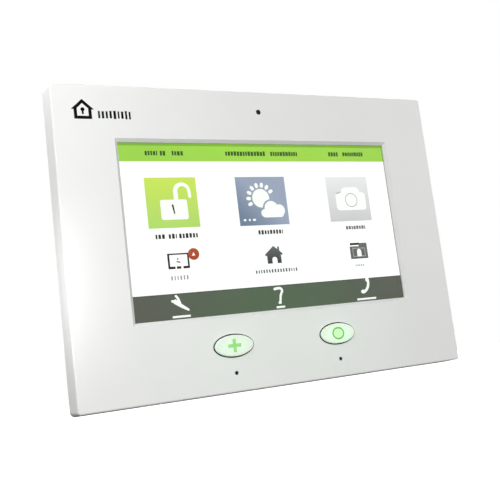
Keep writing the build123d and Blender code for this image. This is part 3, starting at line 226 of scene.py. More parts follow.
def bump(tree, shader, height, distance, strength=1.0):
    """Fine relief of this depth in metres."""
    node = tree.nodes.new("ShaderNodeBump")
    node.inputs["Strength"].default_value = strength
    node.inputs["Distance"].default_value = distance
    tree.links.new(height, node.inputs["Height"])
    tree.links.new(node.outputs["Normal"], shader.inputs["Normal"])


GLOSS_TO_GRAIN = 0.4


def moulded(name, colour, shade, gloss, grain, depth, **constants):
    """A plastic or paint: patchy colour, uneven gloss and a fine surface grain of this depth in metres."""
    material, tree, shader = new_material(name)
    patches = ramp(tree, noise(tree, 45.0, 4.0), 0.0, 1.0)
    tree.links.new(blend(tree, patches, shade, colour), shader.inputs["Base Color"])
    tree.links.new(ramp(tree, noise(tree, grain * GLOSS_TO_GRAIN, 3.0), *gloss), shader.inputs["Roughness"])
    bump(tree, shader, noise(tree, grain, 2.0), depth)
    for socket, value in constants.items():
        shader.inputs[socket.replace("_", " ")].default_value = value
    return material


def metal(name, colour, shade, gloss, stretch, depth=4e-6):
    """Plated or brushed metal: streaks along one way, with duller patches."""
    material, tree, shader = new_material(name)
    streaks = noise(tree, 900.0, 5.0, 0.65, stretch)
    patches = noise(tree, 120.0, 4.0)
    mottle = blend(tree, ramp(tree, streaks, 0.0, 1.0), shade, colour)
    tree.links.new(mottle, shader.inputs["Base Color"])
    tree.links.new(ramp(tree, patches, *gloss), shader.inputs["Roughness"])
    bump(tree, shader, streaks, depth)
    shader.inputs["Metallic"].default_value = 1.0
    return material


TINNED = (0.7, 0.72, 0.7)


def circuit(name, mask, track, gloss=(0.3, 0.45)):
    """Solder mask over copper tracks, with tinned via rings."""
    material, tree, shader = new_material(name)
    place = own_place(tree)
    cells = tree.nodes.new("ShaderNodeTexVoronoi")
    cells.feature = "DISTANCE_TO_EDGE"
    cells.inputs["Scale"].default_value = 330.0
    tree.links.new(place, cells.inputs["Vector"])
    dots = tree.nodes.new("ShaderNodeTexVoronoi")
    dots.inputs["Scale"].default_value = 420.0
    tree.links.new(place, dots.inputs["Vector"])
    tracks = ramp(tree, cells.outputs["Distance"], 1.0, 0.0, 0.06, 0.09)
    copper = blend(tree, tracks, mask, track)
    vias = ramp(tree, dots.outputs["Distance"], 1.0, 0.0, 0.12, 0.15)
    tree.links.new(blend(tree, vias, copper, TINNED), shader.inputs["Base Color"])
    tree.links.new(ramp(tree, noise(tree, 500.0), *gloss), shader.inputs["Roughness"])
    bump(tree, shader, tracks, 3e-5)
    return material


GLASS_IOR = 1.46


def glass(name, tint, gloss=(0.0, 0.035)):
    """Clear glass with faint wiping marks in its gloss."""
    material, tree, shader = new_material(name)
    smears = noise(tree, 60.0, 4.0, 0.6, (0.4, 1.0, 1.6))
    tree.links.new(ramp(tree, smears, *gloss), shader.inputs["Roughness"])
    bump(tree, shader, noise(tree, 25.0, 1.0), 2e-6, 0.3)
    shader.inputs["Base Color"].default_value = (*tint, 1.0)
    shader.inputs["Transmission Weight"].default_value = 1.0
    shader.inputs["IOR"].default_value = GLASS_IOR
    return material


def srgb(red, green, blue):
    """A screen colour, each part 0 to 255, as linear light."""

    def linear(part):
        part /= 255.0
        return part / 12.92 if part <= 0.04045 else ((part + 0.055) / 1.055) ** 2.4

    return (linear(red), linear(green), linear(blue))


BACKLIGHT = 1.06
DIMMEST_PIXEL = (0.955, 0.955, 0.955)
BRIGHTEST_PIXEL = (1.0, 1.0, 1.0)
UNLIT_PIXEL = (0.012, 0.012, 0.013, 1.0)


def display(name, first, second, way, start, end, mirrored=False, strength=BACKLIGHT):
    """Lit pixels over a slightly uneven backlight; their colour changes from the first to the second.

    The change runs along one way, from start to end in metres, or to both sides of 0 if it is mirrored.
    """
    material, tree, shader = new_material(name)
    along = vector_maths(tree, "DOT_PRODUCT", own_place(tree), way)
    if mirrored:
        whole = tree.nodes.new("ShaderNodeMath")
        whole.operation = "ABSOLUTE"
        tree.links.new(along, whole.inputs[0])
        along = whole.outputs["Value"]
    colour = blend(tree, ramp(tree, along, 0.0, 1.0, start, end), srgb(*first), srgb(*second))
    patches = ramp(tree, noise(tree, 40.0, 2.0), 0.0, 1.0)
    uneven = tree.nodes.new("ShaderNodeMix")
    uneven.data_type = "RGBA"
    uneven.blend_type = "MULTIPLY"
    uneven.inputs["Factor"].default_value = 1.0
    tree.links.new(colour, uneven.inputs["A"])
    tree.links.new(blend(tree, patches, DIMMEST_PIXEL, BRIGHTEST_PIXEL), uneven.inputs["B"])
    tree.links.new(uneven.outputs["Result"], shader.inputs["Emission Color"])
    shader.inputs["Emission Strength"].default_value = strength
    shader.inputs["Base Color"].default_value = UNLIT_PIXEL
    shader.inputs["Roughness"].default_value = 0.5
    material.cycles.emission_sampling = "NONE"
    return material


# painted shade: the cap's sides below the case's front are near black, for the shade deep in the gap round
# the button
GAP_SHADE_TOP = FRONT_Y - 0.1 * MM
GAP_SHADE_EDGE = 0.1 * MM
GAP_SHADE_BLACK = (0.006, 0.006, 0.006)
CAP_HALF_WIDTH = 10.2 * MM
CAP_HALF_HEIGHT = 5.2 * MM
DARK = (0.0, 0.0, 0.0)


def glowing_cap(name, centre, glow, strength):
    """Milky white plastic lit from behind, brighter near its middle, with its pale green tint painted in as
    glow; its sides below the case's front are painted black as the shade deep in the gap round it.
    """
    material, tree, shader = new_material(name)
    place = own_place(tree)
    offset = vector_maths(tree, "SUBTRACT", place, centre)
    oval = vector_maths(tree, "MULTIPLY", offset, (1.0 / CAP_HALF_WIDTH, 0.0, 1.0 / CAP_HALF_HEIGHT))
    fade = ramp(tree, vector_maths(tree, "LENGTH", oval), 1.0, 0.3, 0.25, 1.05)
    depth = vector_maths(tree, "DOT_PRODUCT", place, INWARD)
    # painted shade: below the case's front the cap turns black and unlit, where the gap round it is in shade
    gap_shade = ramp(tree, depth, 0.0, 1.0, GAP_SHADE_TOP, GAP_SHADE_TOP + GAP_SHADE_EDGE)
    mottle = noise(tree, 700.0, 3.0)
    # painted glow: the pale green tint of the body colour stands in for green light through the milky white
    # cap
    body = blend(tree, ramp(tree, mottle, 0.0, 1.0), (0.82, 0.87, 0.82), (0.86, 0.9, 0.86))
    lit = blend(tree, fade, DARK, glow)
    tree.links.new(blend(tree, gap_shade, body, GAP_SHADE_BLACK), shader.inputs["Base Color"])
    tree.links.new(blend(tree, gap_shade, lit, DARK), shader.inputs["Emission Color"])
    tree.links.new(ramp(tree, mottle, 0.3, 0.4), shader.inputs["Roughness"])
    bump(tree, shader, noise(tree, 2500.0, 2.0), 3e-6)
    shader.inputs["Emission Strength"].default_value = strength
    shader.inputs["Subsurface Weight"].default_value = 0.25
    shader.inputs["Subsurface Scale"].default_value = 1.2 * MM
    return material


def speckled_light(name, colour, edge, strength):
    """A small lit insert with a grainy diffuser."""
    material, tree, shader = new_material(name)
    grains = ramp(tree, noise(tree, 1600.0, 3.0), 0.0, 1.0)
    tree.links.new(blend(tree, grains, edge, colour), shader.inputs["Base Color"])
    tree.links.new(blend(tree, grains, edge, colour), shader.inputs["Emission Color"])
    tree.links.new(ramp(tree, noise(tree, 900.0), 0.3, 0.42), shader.inputs["Roughness"])
    shader.inputs["Emission Strength"].default_value = strength
    return material


def assign(material, *names):
    """Gives carried-over CAD nodes their material."""
    for name in names:
        mesh = nodes[name].data
        mesh.materials.clear()
        mesh.materials.append(material)


# ---------------------------------------------------------------- flat artwork
def loop_mesh(loops, thickness):
    """A flat plate from closed outlines in millimetres; an outline inside another is a hole."""
    curve = bpy.data.curves.new("loops", "CURVE")
    curve.dimensions = "2D"
    curve.fill_mode = "BOTH"
    curve.extrude = thickness * MM / 2
    for loop in loops:
        spline = curve.splines.new("POLY")
        spline.points.add(len(loop) - 1)
        for point, (across, up) in zip(spline.points, loop):
            point.co = (across * MM, up * MM, 0.0, 1.0)
        spline.use_cyclic_u = True
    holder = bpy.data.objects.new("loops", curve)
    scene.collection.objects.link(holder)
    bpy.context.view_layer.update()
    solid = holder.evaluated_get(bpy.context.evaluated_depsgraph_get())
    mesh = bpy.data.meshes.new_from_object(solid)
    bpy.data.objects.remove(holder)
    bpy.data.curves.remove(curve)
    return mesh


class Artwork:
    """One named piece made of thin flat plates that face the room, stacked off a surface.

    Where plates overlap, the one that shows has its front a little higher off the surface.
    """

    def __init__(self, name, origin):
        self.name = name
        self.origin = Vector(origin)
        self.bm = bmesh.new()
        self.materials = []

    def add(self, loops, material, height, thickness=0.03):
        """Lays one plate with its front this many millimetres off the surface."""
        if material not in self.materials:
            self.materials.append(material)
        mesh = loop_mesh(loops, thickness)
        mesh.transform(Matrix.Rotation(math.radians(90), 4, "X"))
        mesh.transform(Matrix.Translation(self.origin + Vector((0, -(height - thickness / 2) * MM, 0))))
        before = len(self.bm.faces)
        self.bm.from_mesh(mesh)
        self.bm.faces.ensure_lookup_table()
        for face in self.bm.faces[before:]:
            face.material_index = self.materials.index(material)
            face.smooth = False
        bpy.data.meshes.remove(mesh)

    def finish(self, body):
        """Makes the piece, and says which body it rides on."""
        bmesh.ops.remove_doubles(self.bm, verts=self.bm.verts, dist=1e-7)
        mesh = bpy.data.meshes.new(self.name)
        self.bm.to_mesh(mesh)
        self.bm.free()
        for material in self.materials:
            mesh.materials.append(material)
        piece = bpy.data.objects.new(self.name, mesh)
        scene.collection.objects.link(piece)
        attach(piece, body)


def box_loop(left, bottom, right, top):
    """The outline of a rectangle."""
    return [(left, bottom), (right, bottom), (right, top), (left, top)]


def rounded_loop(left, bottom, right, top, radius, steps=6):
    """The outline of a rectangle with round corners."""
    points = []
    corners = ((right, bottom, -90), (right, top, 0), (left, top, 90), (left, bottom, 180))
    for x, z, turn in corners:
        middle_x = x - radius if x == right else x + radius
        middle_z = z - radius if z == top else z + radius
        points += arc_points(middle_x, middle_z, radius, radius, turn, turn + 90, steps)
    return points


def oval_loop(across, up, width, tall, steps=40):
    """The outline of an oval round this middle."""
    return arc_points(across, up, width / 2, tall / 2, 0, 360, steps)[:-1]


def stroke_loop(points, width, end_width=None, cap=6):
    """The outline of a round-ended pen stroke along these points; it may narrow towards its end."""
    count = len(points)
    widths = [width + ((end_width or width) - width) * i / (count - 1) for i in range(count)]
    ways = []
    for i in range(count):
        before = Vector(points[max(i - 1, 0)])
        after = Vector(points[min(i + 1, count - 1)])
        ways.append((after - before).normalized())
    left, right = [], []
    for point, way, wide in zip(points, ways, widths):
        side = Vector((-way.y, way.x)) * wide / 2
        left.append(Vector(point) + side)
        right.append(Vector(point) - side)
    loop = [tuple(p) for p in left]
    ends = (
        (points[-1], ways[-1], widths[-1], right[::-1]),
        (points[0], -ways[0], widths[0], []),
    )
    for centre, way, wide, order in ends:
        side = Vector((-way.y, way.x)) * wide / 2
        for i in range(1, cap):
            turn = math.pi * i / cap
            loop.append(tuple(Vector(centre) + side * math.cos(turn) + way * wide / 2 * math.sin(turn)))
        loop += [tuple(p) for p in order]
    return loop


def arc_points(across, up, radius_x, radius_z, start, end, steps=14):
    """Points round part of an oval, from one angle to another in degrees."""
    angles = [math.radians(start + (end - start) * i / steps) for i in range(steps + 1)]
    return [(across + radius_x * math.cos(angle), up + radius_z * math.sin(angle)) for angle in angles]


def word_loops(left, right, middle, tall, dice, block=(0.9, 1.5), gap=0.42):
    """A word shown as a row of plain blocks, with no letters in it."""
    loops, at = [], left
    while at < right - 0.5:
        wide = min(dice.uniform(*block), right - at)
        top = middle + tall / 2 * dice.uniform(0.78, 1.0)
        bottom = middle - tall / 2 * dice.uniform(0.85, 1.0)
        loops.append(box_loop(at, bottom, at + wide, top))
        at += wide + gap
    return loops


# ---------------------------------------------------------------- the materials in use
# moulded: colour, the shade of its patches, the range of its gloss, how fine its grain is, and how deep
case_white = moulded("case_white", (0.86, 0.865, 0.86), (0.845, 0.85, 0.845), (0.36, 0.44), 1400.0, 2e-6)
shell_white = moulded("shell_white", (0.8, 0.8, 0.79), (0.77, 0.77, 0.76), (0.55, 0.7), 2600.0, 2.5e-5)
door_white = moulded("door_white", (0.79, 0.79, 0.785), (0.765, 0.765, 0.76), (0.5, 0.66), 2300.0, 2e-5)
plate_white = moulded("plate_white", (0.74, 0.745, 0.74), (0.7, 0.705, 0.7), (0.5, 0.68), 1500.0, 3e-5)
screw_steel = metal("screw_steel", (0.6, 0.6, 0.62), (0.42, 0.42, 0.44), (0.22, 0.38), (1.0, 1.0, 5.0))
tin_steel = metal("tin_steel", (0.68, 0.68, 0.69), (0.52, 0.52, 0.53), (0.25, 0.42), (1.0, 5.0, 1.0))
cast_alloy = metal("cast_alloy", (0.6, 0.61, 0.62), (0.5, 0.51, 0.52), (0.42, 0.6), (1.0, 1.0, 1.0), 2e-5)
white_foam = moulded("white_foam", (0.85, 0.85, 0.84), (0.78, 0.78, 0.77), (0.85, 1.0), 3500.0, 8e-5)
black_foam = moulded("black_foam", (0.035, 0.035, 0.036), (0.015, 0.015, 0.016), (0.85, 1.0), 3500.0, 1.2e-4)
black_plastic = moulded(
    "black_plastic", (0.035, 0.035, 0.038), (0.025, 0.025, 0.027), (0.4, 0.55), 2400.0, 1.5e-5
)
chip_black = moulded("chip_black", (0.05, 0.05, 0.053), (0.035, 0.035, 0.037), (0.5, 0.65), 4000.0, 1e-5)
black_rubber = moulded("black_rubber", (0.03, 0.03, 0.03), (0.02, 0.02, 0.02), (0.6, 0.75), 1800.0, 1e-5)
light_guide = moulded("light_guide", (0.9, 0.91, 0.93), (0.85, 0.86, 0.88), (0.3, 0.45), 3000.0, 6e-6)
led_body = moulded("led_body", (0.9, 0.85, 0.45), (0.85, 0.8, 0.6), (0.25, 0.4), 1500.0, 8e-6)
amber_flex = moulded(
    "amber_flex", (0.68, 0.36, 0.07), (0.52, 0.24, 0.04), (0.25, 0.4), 900.0, 8e-6, Coat_Weight=0.3
)
terminal_green = moulded("terminal_green", (0.07, 0.38, 0.15), (0.05, 0.3, 0.11), (0.35, 0.5), 2000.0, 8e-6)
speaker_paper = moulded(
    "speaker_paper", (0.08, 0.078, 0.075), (0.045, 0.044, 0.042), (0.8, 0.95), 1200.0, 6e-5
)
battery_wrap = moulded("battery_wrap", (0.06, 0.16, 0.42), (0.045, 0.12, 0.34), (0.22, 0.36), 160.0, 5e-5)
connector_white = moulded("connector_white", (0.82, 0.8, 0.74), (0.76, 0.74, 0.67), (0.4, 0.55), 2000.0, 8e-6)
lead_red = moulded("lead_red", (0.5, 0.03, 0.02), (0.4, 0.02, 0.015), (0.35, 0.5), 1200.0, 8e-6)
green_board = circuit("green_board", (0.015, 0.13, 0.05), (0.03, 0.21, 0.08))
blue_board = circuit("blue_board", (0.012, 0.05, 0.16), (0.025, 0.09, 0.26))
antenna_board = circuit("antenna_board", (0.02, 0.02, 0.022), (0.35, 0.22, 0.08))
screen_glass = glass("screen_glass", (0.985, 0.995, 0.99))
lens_glass = glass("lens_glass", (0.5, 0.55, 0.62))
dark_window = moulded(
    "dark_window", (0.012, 0.013, 0.017), (0.008, 0.008, 0.012), (0.05, 0.12), 400.0, 2e-6, Coat_Weight=0.6
)
print_black = moulded(
    "print_black", (0.003, 0.003, 0.0035), (0.006, 0.006, 0.0065), (0.55, 0.66), 2500.0, 2e-6,
    Specular_IOR_Level=0.1,
)
lcd_film = moulded("lcd_film", (0.14, 0.145, 0.15), (0.11, 0.115, 0.12), (0.3, 0.42), 3000.0, 2e-6)

assign(case_white, "front_bezel")
assign(shell_white, "back_shell", "tamper_plunger")
assign(door_white, "battery_door")
assign(plate_white, "wall_plate")
assign(screw_steel, "case_screws", "chassis_screws", "keypad_screws", "board_screws", "terminal_screws")
assign(tin_steel, "lcd_frame", "shield_cans", "memory_card_slot", "clock_battery", "microphones")
assign(cast_alloy, "mid_chassis")
assign(white_foam, "screen_gasket")
assign(black_foam, "battery_foam", "speaker_gasket")
assign(black_plastic, "tact_switches", "emergency_switch_plunger", "home_switch_plunger", "camera_module")
assign(black_plastic, "flex_connectors", "cellular_socket", "tamper_switch", "speaker_enclosure", "siren")
assign(chip_black, "processor", "memory_chips", "power_coils")
assign(black_rubber, "microphone_boots")
assign(light_guide, "backlight_unit")
assign(led_body, "backlight_led_bar", "button_leds")
assign(amber_flex, "lcd_flex", "keypad_flex", "camera_flex")
assign(terminal_green, "terminal_block")
assign(speaker_paper, "speaker_cone")
assign(battery_wrap, "battery_pack")
assign(connector_white, "battery_socket", "battery_plug")
assign(lead_red, "battery_lead")
assign(green_board, "main_board", "keypad_board", "camera_board")
assign(blue_board, "cellular_card", "sensor_radio_card")
assign(antenna_board, "wifi_antenna", "cell_antenna")
assign(screen_glass, "touch_glass")
assign(lens_glass, "camera_lens")
assign(dark_window, "camera_window")
assign(lcd_film, "lcd_panel")

GLOW = (0.42, 0.9, 0.38)
plus_centre = node_centre("emergency_symbol")
ring_centre = node_centre("home_symbol")
assign(glowing_cap("emergency_cap", plus_centre, GLOW, 0.22), "emergency_button")
assign(glowing_cap("home_cap", ring_centre, GLOW, 0.35), "home_button")
assign(speckled_light("plus_light", srgb(148, 202, 122), srgb(128, 192, 106), 0.4), "emergency_symbol")
assign(speckled_light("ring_light", srgb(128, 186, 106), srgb(112, 170, 90), 0.34), "home_symbol")

# ---------------------------------------------------------------- the lit screen
screen_z = node_centre("lcd_panel").z
ON_LCD = (0.0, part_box("lcd_panel")[0].y, screen_z)
HALF_WIDTH = 77.9
HALF_HEIGHT = 44.3
HEADER_BOTTOM = 34.6
# from here up the header is darker: painted shadow of the case's rim over the sunken screen
HEADER_SHADOW_BOTTOM = 42.6
FOOTER_TOP = -31.4
FOOTER_EDGE_TOP = -31.0
dice = random.Random(7)


def upright(name, first, second, low, high, **settings):
    """Pixels whose colour changes up the screen, between two heights above its middle, in mm."""
    return display(name, first, second, UPWARD, screen_z + low * MM, screen_z + high * MM, **settings)


def sideways(name, first, second, left, right, **settings):
    """Pixels whose colour changes across the screen, between two places right of its middle, in mm."""
    return display(name, first, second, ACROSS, left * MM, right * MM, **settings)


page_white = upright("page_white", (252, 254, 252), (250, 252, 249), -30, 30, strength=1.16)
header_green = sideways("header_green", (163, 222, 73), (158, 216, 73), 0, 77, mirrored=True)
# painted shadow: a darker green for the band along the header's top, where the case's rim shades the sunken
# screen
header_painted_shadow = sideways("header_painted_shadow", (132, 184, 60), (128, 180, 60), 0, 77, mirrored=True)
header_ink = sideways("header_ink", (46, 84, 22), (38, 70, 18), -70, 70)
padlock_green = upright("padlock_green", (181, 223, 109), (205, 233, 88), 2, 26)
weather_slate = display(
    "weather_slate", (114, 131, 155), (157, 168, 189), (1.0, 0.0, 1.0), screen_z - 9 * MM, screen_z + 12 * MM
)
camera_grey = upright("camera_grey", (208, 209, 209), (238, 238, 238), 2, 26)
icon_white = upright("icon_white", (250, 253, 248), (250, 253, 248), -30, 30, strength=1.12)
ink_dark = sideways("ink_dark", (34, 30, 26), (48, 42, 36), -60, 0)
ink_grey = sideways("ink_grey", (92, 92, 90), (112, 112, 110), 0, 60)
ink_pale = sideways("ink_pale", (150, 152, 150), (164, 166, 164), -60, 0)
house_grey = upright("house_grey", (54, 56, 56), (104, 108, 106), -20, -10)
folder_grey = upright("folder_grey", (92, 96, 96), (104, 108, 108), -20, -10)
badge_orange = upright("badge_orange", (172, 68, 24), (182, 82, 38), -15, -9)
footer_green = sideways("footer_green", (84, 104, 79), (91, 95, 85), 12, 70, mirrored=True)
footer_edge = sideways("footer_edge", (70, 84, 66), (74, 80, 72), 0, 70, mirrored=True)

page = Artwork("screen_page", ON_LCD)
page.add([box_loop(-HALF_WIDTH, -HALF_HEIGHT, HALF_WIDTH, HALF_HEIGHT)], page_white, 0.04)
page.finish("panel")

header = Artwork("screen_header", ON_LCD)
header.add([box_loop(-HALF_WIDTH, HEADER_BOTTOM, HALF_WIDTH, HALF_HEIGHT)], header_green, 0.08)
# the painted shadow of the case's rim along the header's top
header.add([box_loop(-HALF_WIDTH, HEADER_SHADOW_BOTTOM, HALF_WIDTH, HALF_HEIGHT)], header_painted_shadow, 0.1)
left_words = ((-63.4, -57.0), (-55.6, -52.1), (-49.4, -42.7))
middle_words = ((-20.3, 2.5), (5.8, 22.0))
right_words = ((41.8, 47.8), (51.0, 65.1))
for left, right in left_words + middle_words + right_words:
    header.add(word_loops(left, right, 38.8, 2.5, dice), header_ink, 0.12)
header.finish("panel")

footer = Artwork("screen_footer", ON_LCD)
footer.add([box_loop(-HALF_WIDTH, -HALF_HEIGHT, HALF_WIDTH, FOOTER_TOP)], footer_green, 0.08)
footer.add([box_loop(-HALF_WIDTH, FOOTER_TOP, HALF_WIDTH, FOOTER_EDGE_TOP)], footer_edge, 0.08)
footer.finish("panel")

# an open padlock: the body with a key slit, and a shackle that has swung up at its right
padlock = Artwork("screen_padlock_tile", ON_LCD)
padlock.add([box_loop(-65.3, 1.1, -38.5, 26.4)], padlock_green, 0.08)
padlock.add([rounded_loop(-58.2, 5.2, -44.2, 15.2, 1.1)], icon_white, 0.12)
shackle = [(-49.8, 14.6), (-49.8, 19.0)] + arc_points(-46.2, 19.4, 3.6, 3.5, 180, 12) + [(-42.4, 16.6)]
padlock.add([stroke_loop(shackle, 2.3, 1.5)], icon_white, 0.16)
padlock.add([stroke_loop([(-51.9, 12.4), (-51.3, 8.2)], 0.95, 0.6)], ink_dark, 0.16)
padlock.finish("panel")

SUN = (-3.1, 14.9)
SUN_WIDTH = 9.9
RAY_START = 6.6
RAY_END = 7.6


def cloud_loops(grow):
    """A cloud of three domes on a flat base, made this much wider all round."""
    return [
        oval_loop(2.3, 9.3, 8.0 + grow, 8.0 + grow),
        oval_loop(7.0, 8.2, 6.2 + grow, 6.4 + grow),
        oval_loop(-1.6, 6.9, 4.6 + grow, 4.4 + grow),
        rounded_loop(-2.4 - grow / 2, 4.6 - grow / 2, 9.0 + grow / 2, 8.6, 1.2),
    ]


# a sun behind a cloud, with a gap in the tile's colour round the cloud, and three dots beneath
weather = Artwork("screen_weather_tile", ON_LCD)
weather.add([box_loop(-16.7, 0.6, 12.0, 26.3)], weather_slate, 0.08)
weather.add([oval_loop(*SUN, SUN_WIDTH, SUN_WIDTH)], icon_white, 0.12)
for turn in range(205, 5, -25):
    way = Vector((math.cos(math.radians(turn)), math.sin(math.radians(turn))))
    ray = [tuple(Vector(SUN) + way * reach) for reach in (RAY_START, RAY_END)]
    weather.add([stroke_loop(ray, 1.9, 1.7)], icon_white, 0.12)
for loop in cloud_loops(1.9):
    weather.add([loop], weather_slate, 0.15)
for loop in cloud_loops(0.0):
    weather.add([loop], icon_white, 0.19)
for across, wide in ((-13.7, 1.5), (-11.0, 1.1), (-8.3, 1.9)):
    weather.add([oval_loop(across, 3.6, wide, 1.2)], icon_white, 0.12)
weather.finish("panel")

# a camera: a rounded body with a raised top, a thin lens ring and a short line at its shoulder
camera_tile = Artwork("screen_camera_tile", ON_LCD)
camera_tile.add([box_loop(37.5, 0.9, 64.4, 25.8)], camera_grey, 0.08)
camera_tile.add([rounded_loop(42.7, 7.1, 61.9, 17.0, 1.9)], icon_white, 0.12)
camera_tile.add([rounded_loop(46.8, 12.0, 58.4, 19.9, 2.6)], icon_white, 0.15)
camera_tile.add([oval_loop(52.5, 12.7, 7.9, 7.9), oval_loop(52.5, 12.7, 7.1, 7.1)], ink_pale, 0.19)
camera_tile.add([stroke_loop([(43.3, 16.6), (45.6, 17.0)], 0.55)], ink_pale, 0.16)
camera_tile.finish("panel")

# a row of blocks under each tile and each small icon
captions = Artwork("screen_captions", ON_LCD)
for left, right in ((-62.3, -56.6), (-55.6, -51.4), (-50.2, -39.8)):
    captions.add(word_loops(left, right, -3.0, 2.5, dice, (0.8, 1.35), 0.6), ink_dark, 0.08)
captions.add(word_loops(-6.9, 7.4, -3.1, 2.3, dice, (0.8, 1.3), 0.6), ink_dark, 0.08)
captions.add(word_loops(46.6, 59.2, -2.7, 2.1, dice, (0.8, 1.4), 0.45), ink_grey, 0.08)
captions.add(word_loops(-56.6, -46.7, -23.5, 2.3, dice, (0.45, 0.8), 0.95), ink_pale, 0.08)
captions.add(word_loops(-11.1, 12.9, -23.4, 1.9, dice, (0.5, 1.0), 0.8), ink_grey, 0.08)
captions.add(word_loops(49.4, 55.4, -23.7, 1.0, dice, (0.6, 1.1), 0.5), ink_pale, 0.08)
captions.finish("panel")

# a monitor with an alert badge over its top right corner
monitor = Artwork("screen_monitor_icon", ON_LCD)
monitor.add([box_loop(-57.5, -18.9, -56.5, -11.5)], ink_dark, 0.08)
monitor.add([box_loop(-57.5, -12.2, -46.4, -11.5)], ink_dark, 0.09)
monitor.add([box_loop(-47.3, -18.9, -46.4, -11.6)], ink_dark, 0.08)
for left, right in ((-57.4, -53.9), (-53.2, -50.9), (-49.8, -46.5)):
    monitor.add([box_loop(left, -19.1, right, -17.9)], ink_dark, 0.1)
monitor.add([oval_loop(-52.3, -14.3, 0.8, 0.8)], ink_dark, 0.08)
monitor.add([stroke_loop([(-52.8, -15.6), (-51.3, -15.9)], 0.55)], ink_dark, 0.08)
monitor.add([oval_loop(-43.8, -12.3, 5.9, 5.9)], badge_orange, 0.13)
monitor.add([[(-44.8, -13.2), (-43.0, -13.0), (-43.9, -11.3)]], icon_white, 0.17)
monitor.finish("panel")

# a gabled house with an open doorway and a chimney
house = Artwork("screen_house_icon", ON_LCD)
roof = [(-4.9, -14.9), (0.5, -10.4), (5.6, -14.7), (4.9, -15.5), (0.5, -12.2), (-4.3, -15.7)]
house_walls = [(-3.7, -19.6), (-3.7, -15.2), (0.5, -12.0), (4.4, -15.2), (4.4, -19.6)]
house_doorway = [(2.0, -19.6)] + arc_points(0.55, -17.6, 1.45, 1.4, 0, 180, 8) + [(-0.9, -19.6)]
house.add([roof], house_grey, 0.08)
house.add([house_walls + house_doorway], house_grey, 0.1)
house.add([box_loop(2.7, -13.2, 3.8, -10.9)], house_grey, 0.12)
house.finish("panel")

# a folder with a dark tab, a thin frame and a pale doorway on it
folder = Artwork("screen_folder_icon", ON_LCD)
folder.add([box_loop(47.2, -20.1, 58.4, -13.2)], folder_grey, 0.08)
folder.add([box_loop(53.2, -13.4, 58.4, -11.5)], folder_grey, 0.09)
folder.add([box_loop(47.6, -12.5, 53.6, -11.3)], ink_dark, 0.11)
folder.add([box_loop(48.7, -19.0, 57.0, -14.1), box_loop(49.2, -18.5, 56.5, -14.6)], ink_pale, 0.11)
arch = [(51.5, -18.8), (51.5, -16.2)] + arc_points(52.9, -16.2, 1.4, 1.5, 180, 0, 8) + [(54.3, -18.8)]
folder.add([arch], icon_white, 0.13)
folder.finish("panel")

# the three footer controls, a pointer, a hook and a handset, each over a short bar
controls = Artwork("screen_footer_icons", ON_LCD)
controls.add([stroke_loop([(-55.9, -34.9), (-52.7, -37.3), (-49.6, -39.2)], 2.3, 1.1)], icon_white, 0.12)
controls.add([stroke_loop([(-55.3, -32.2), (-54.4, -33.4), (-53.6, -35.6)], 1.2)], icon_white, 0.14)
controls.add([stroke_loop([(-57.4, -34.6), (-56.2, -34.9), (-54.4, -35.6)], 1.2)], icon_white, 0.16)
hook_bend = arc_points(1.1, -33.9, 1.3, 1.3, 80, -20, 6)
hook = [(-1.8, -32.8), (0.4, -32.5)] + hook_bend + [(1.2, -36.4), (0.9, -38.4), (0.5, -39.9)]
controls.add([stroke_loop(hook, 1.35, 1.2)], icon_white, 0.12)
controls.add([oval_loop(0.4, -40.0, 1.9, 1.3)], icon_white, 0.16)
handset = arc_points(50.9, -33.1, 5.0, 5.6, 22, -74, 12)
controls.add([stroke_loop(handset, 1.5)], icon_white, 0.12)
controls.add([oval_loop(55.4, -31.9, 2.3, 2.6)], icon_white, 0.15)
controls.add([oval_loop(51.9, -38.2, 2.9, 2.1)], icon_white, 0.18)
for left, right in ((-58.0, -48.8), (-1.9, 3.0), (47.4, 59.7)):
    controls.add([box_loop(left, -42.7, right, -41.7)], icon_white, 0.12)
controls.finish("panel")

# ---------------------------------------------------------------- print on the case, and the lit button faces
# the sides of the case flare out by this much, so its front is that much smaller than its box
FLARE = 1.1 * MM
# how thick a layer of print is, in millimetres
PRINT = 0.02

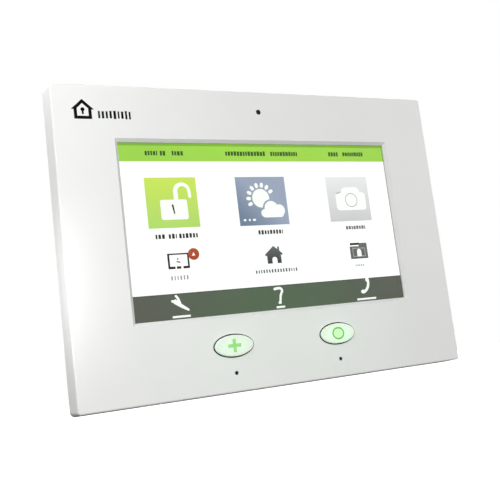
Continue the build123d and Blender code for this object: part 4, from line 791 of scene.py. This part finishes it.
# a plain house outline with a keyhole, then a row of blocks
mark = Artwork("case_mark", (case_low.x + FLARE, FRONT_Y, case_high.z - FLARE))
gable = [(9.0, -12.5), (14.5, -7.4), (20.0, -12.5)]
outline = [(10.3, -17.2), (10.3, -12.5)] + gable + [(18.7, -12.5), (18.7, -17.2)]
hollow = [(11.8, -15.7), (11.8, -12.0), (14.5, -9.4), (17.2, -12.0), (17.2, -15.7)]
mark.add([outline, hollow], print_black, 0.015, PRINT)
mark.add([oval_loop(14.5, -12.5, 1.9, 1.9)], print_black, 0.015, PRINT)
mark.add([box_loop(14.05, -14.9, 14.95, -12.9)], print_black, 0.016, PRINT)
mark.add(word_loops(21.7, 38.3, -14.8, 4.2, dice, (0.75, 1.25), 0.85), print_black, 0.015, PRINT)
mark.finish("panel")

# the paler middle of the home button's lit ring
ring_fill = Artwork("home_ring_fill", (ring_centre.x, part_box("home_symbol")[0].y, ring_centre.z))
fill_light = speckled_light("fill_light", srgb(198, 250, 184), srgb(188, 246, 174), 0.35)
ring_fill.add([oval_loop(0.0, 0.0, 5.46, 4.66)], fill_light, 0.02, PRINT)
ring_fill.finish("home_key")

# ---------------------------------------------------------------- scene
add_camera()
add_world()
add_floor()
face = (0.0, FRONT_Y, 0.0)
middle = (0.0, 0.0, 0.0)
left_side = (case_low.x, (case_low.y + case_high.y) / 2, 0.0)
left_top = (-0.1, FRONT_Y, 0.07)
left_middle = (-0.09, FRONT_Y, -0.025)
left_low = (-0.107, -0.02, -0.02)
SPILL_GREEN = (0.4, 1.0, 0.45)
SPILL_DISTANCE = 0.035
add_area_light("broad_front", (-0.5, -1.5, -0.3), face, (1.0, 1.0), 15.9, mirrored=False)
add_area_light("right_front", (0.9, -0.6, 0.3), face, (0.5, 0.5), 2.3)
add_area_light("left_back", (-0.5, 0.4, 0.45), left_side, (0.4, 0.3), 2.7)
add_area_light("upper_left", (-0.2, -0.15, 0.15), left_top, (0.08, 0.08), 0.15)
add_area_light("lower_left", (-0.13, -0.04, -0.02), left_low, (0.015, 0.05), 0.0075)
add_area_light("left_front", (-0.19, -0.11, -0.02), left_middle, (0.05, 0.05), 0.012)
add_area_light("back_fill", (0.5, 1.4, 0.6), middle, (1.0, 1.0), 9.0)
# the green glow that the two lit buttons spill on the case round them
for name, centre in (("plus_spill", plus_centre), ("ring_spill", ring_centre)):
    spot = (centre.x, FRONT_Y - SPILL_DISTANCE, centre.z)
    add_area_light(name, spot, centre, (0.03, 0.02), 0.0009, SPILL_GREEN)
scene.view_settings.view_transform = "Standard"
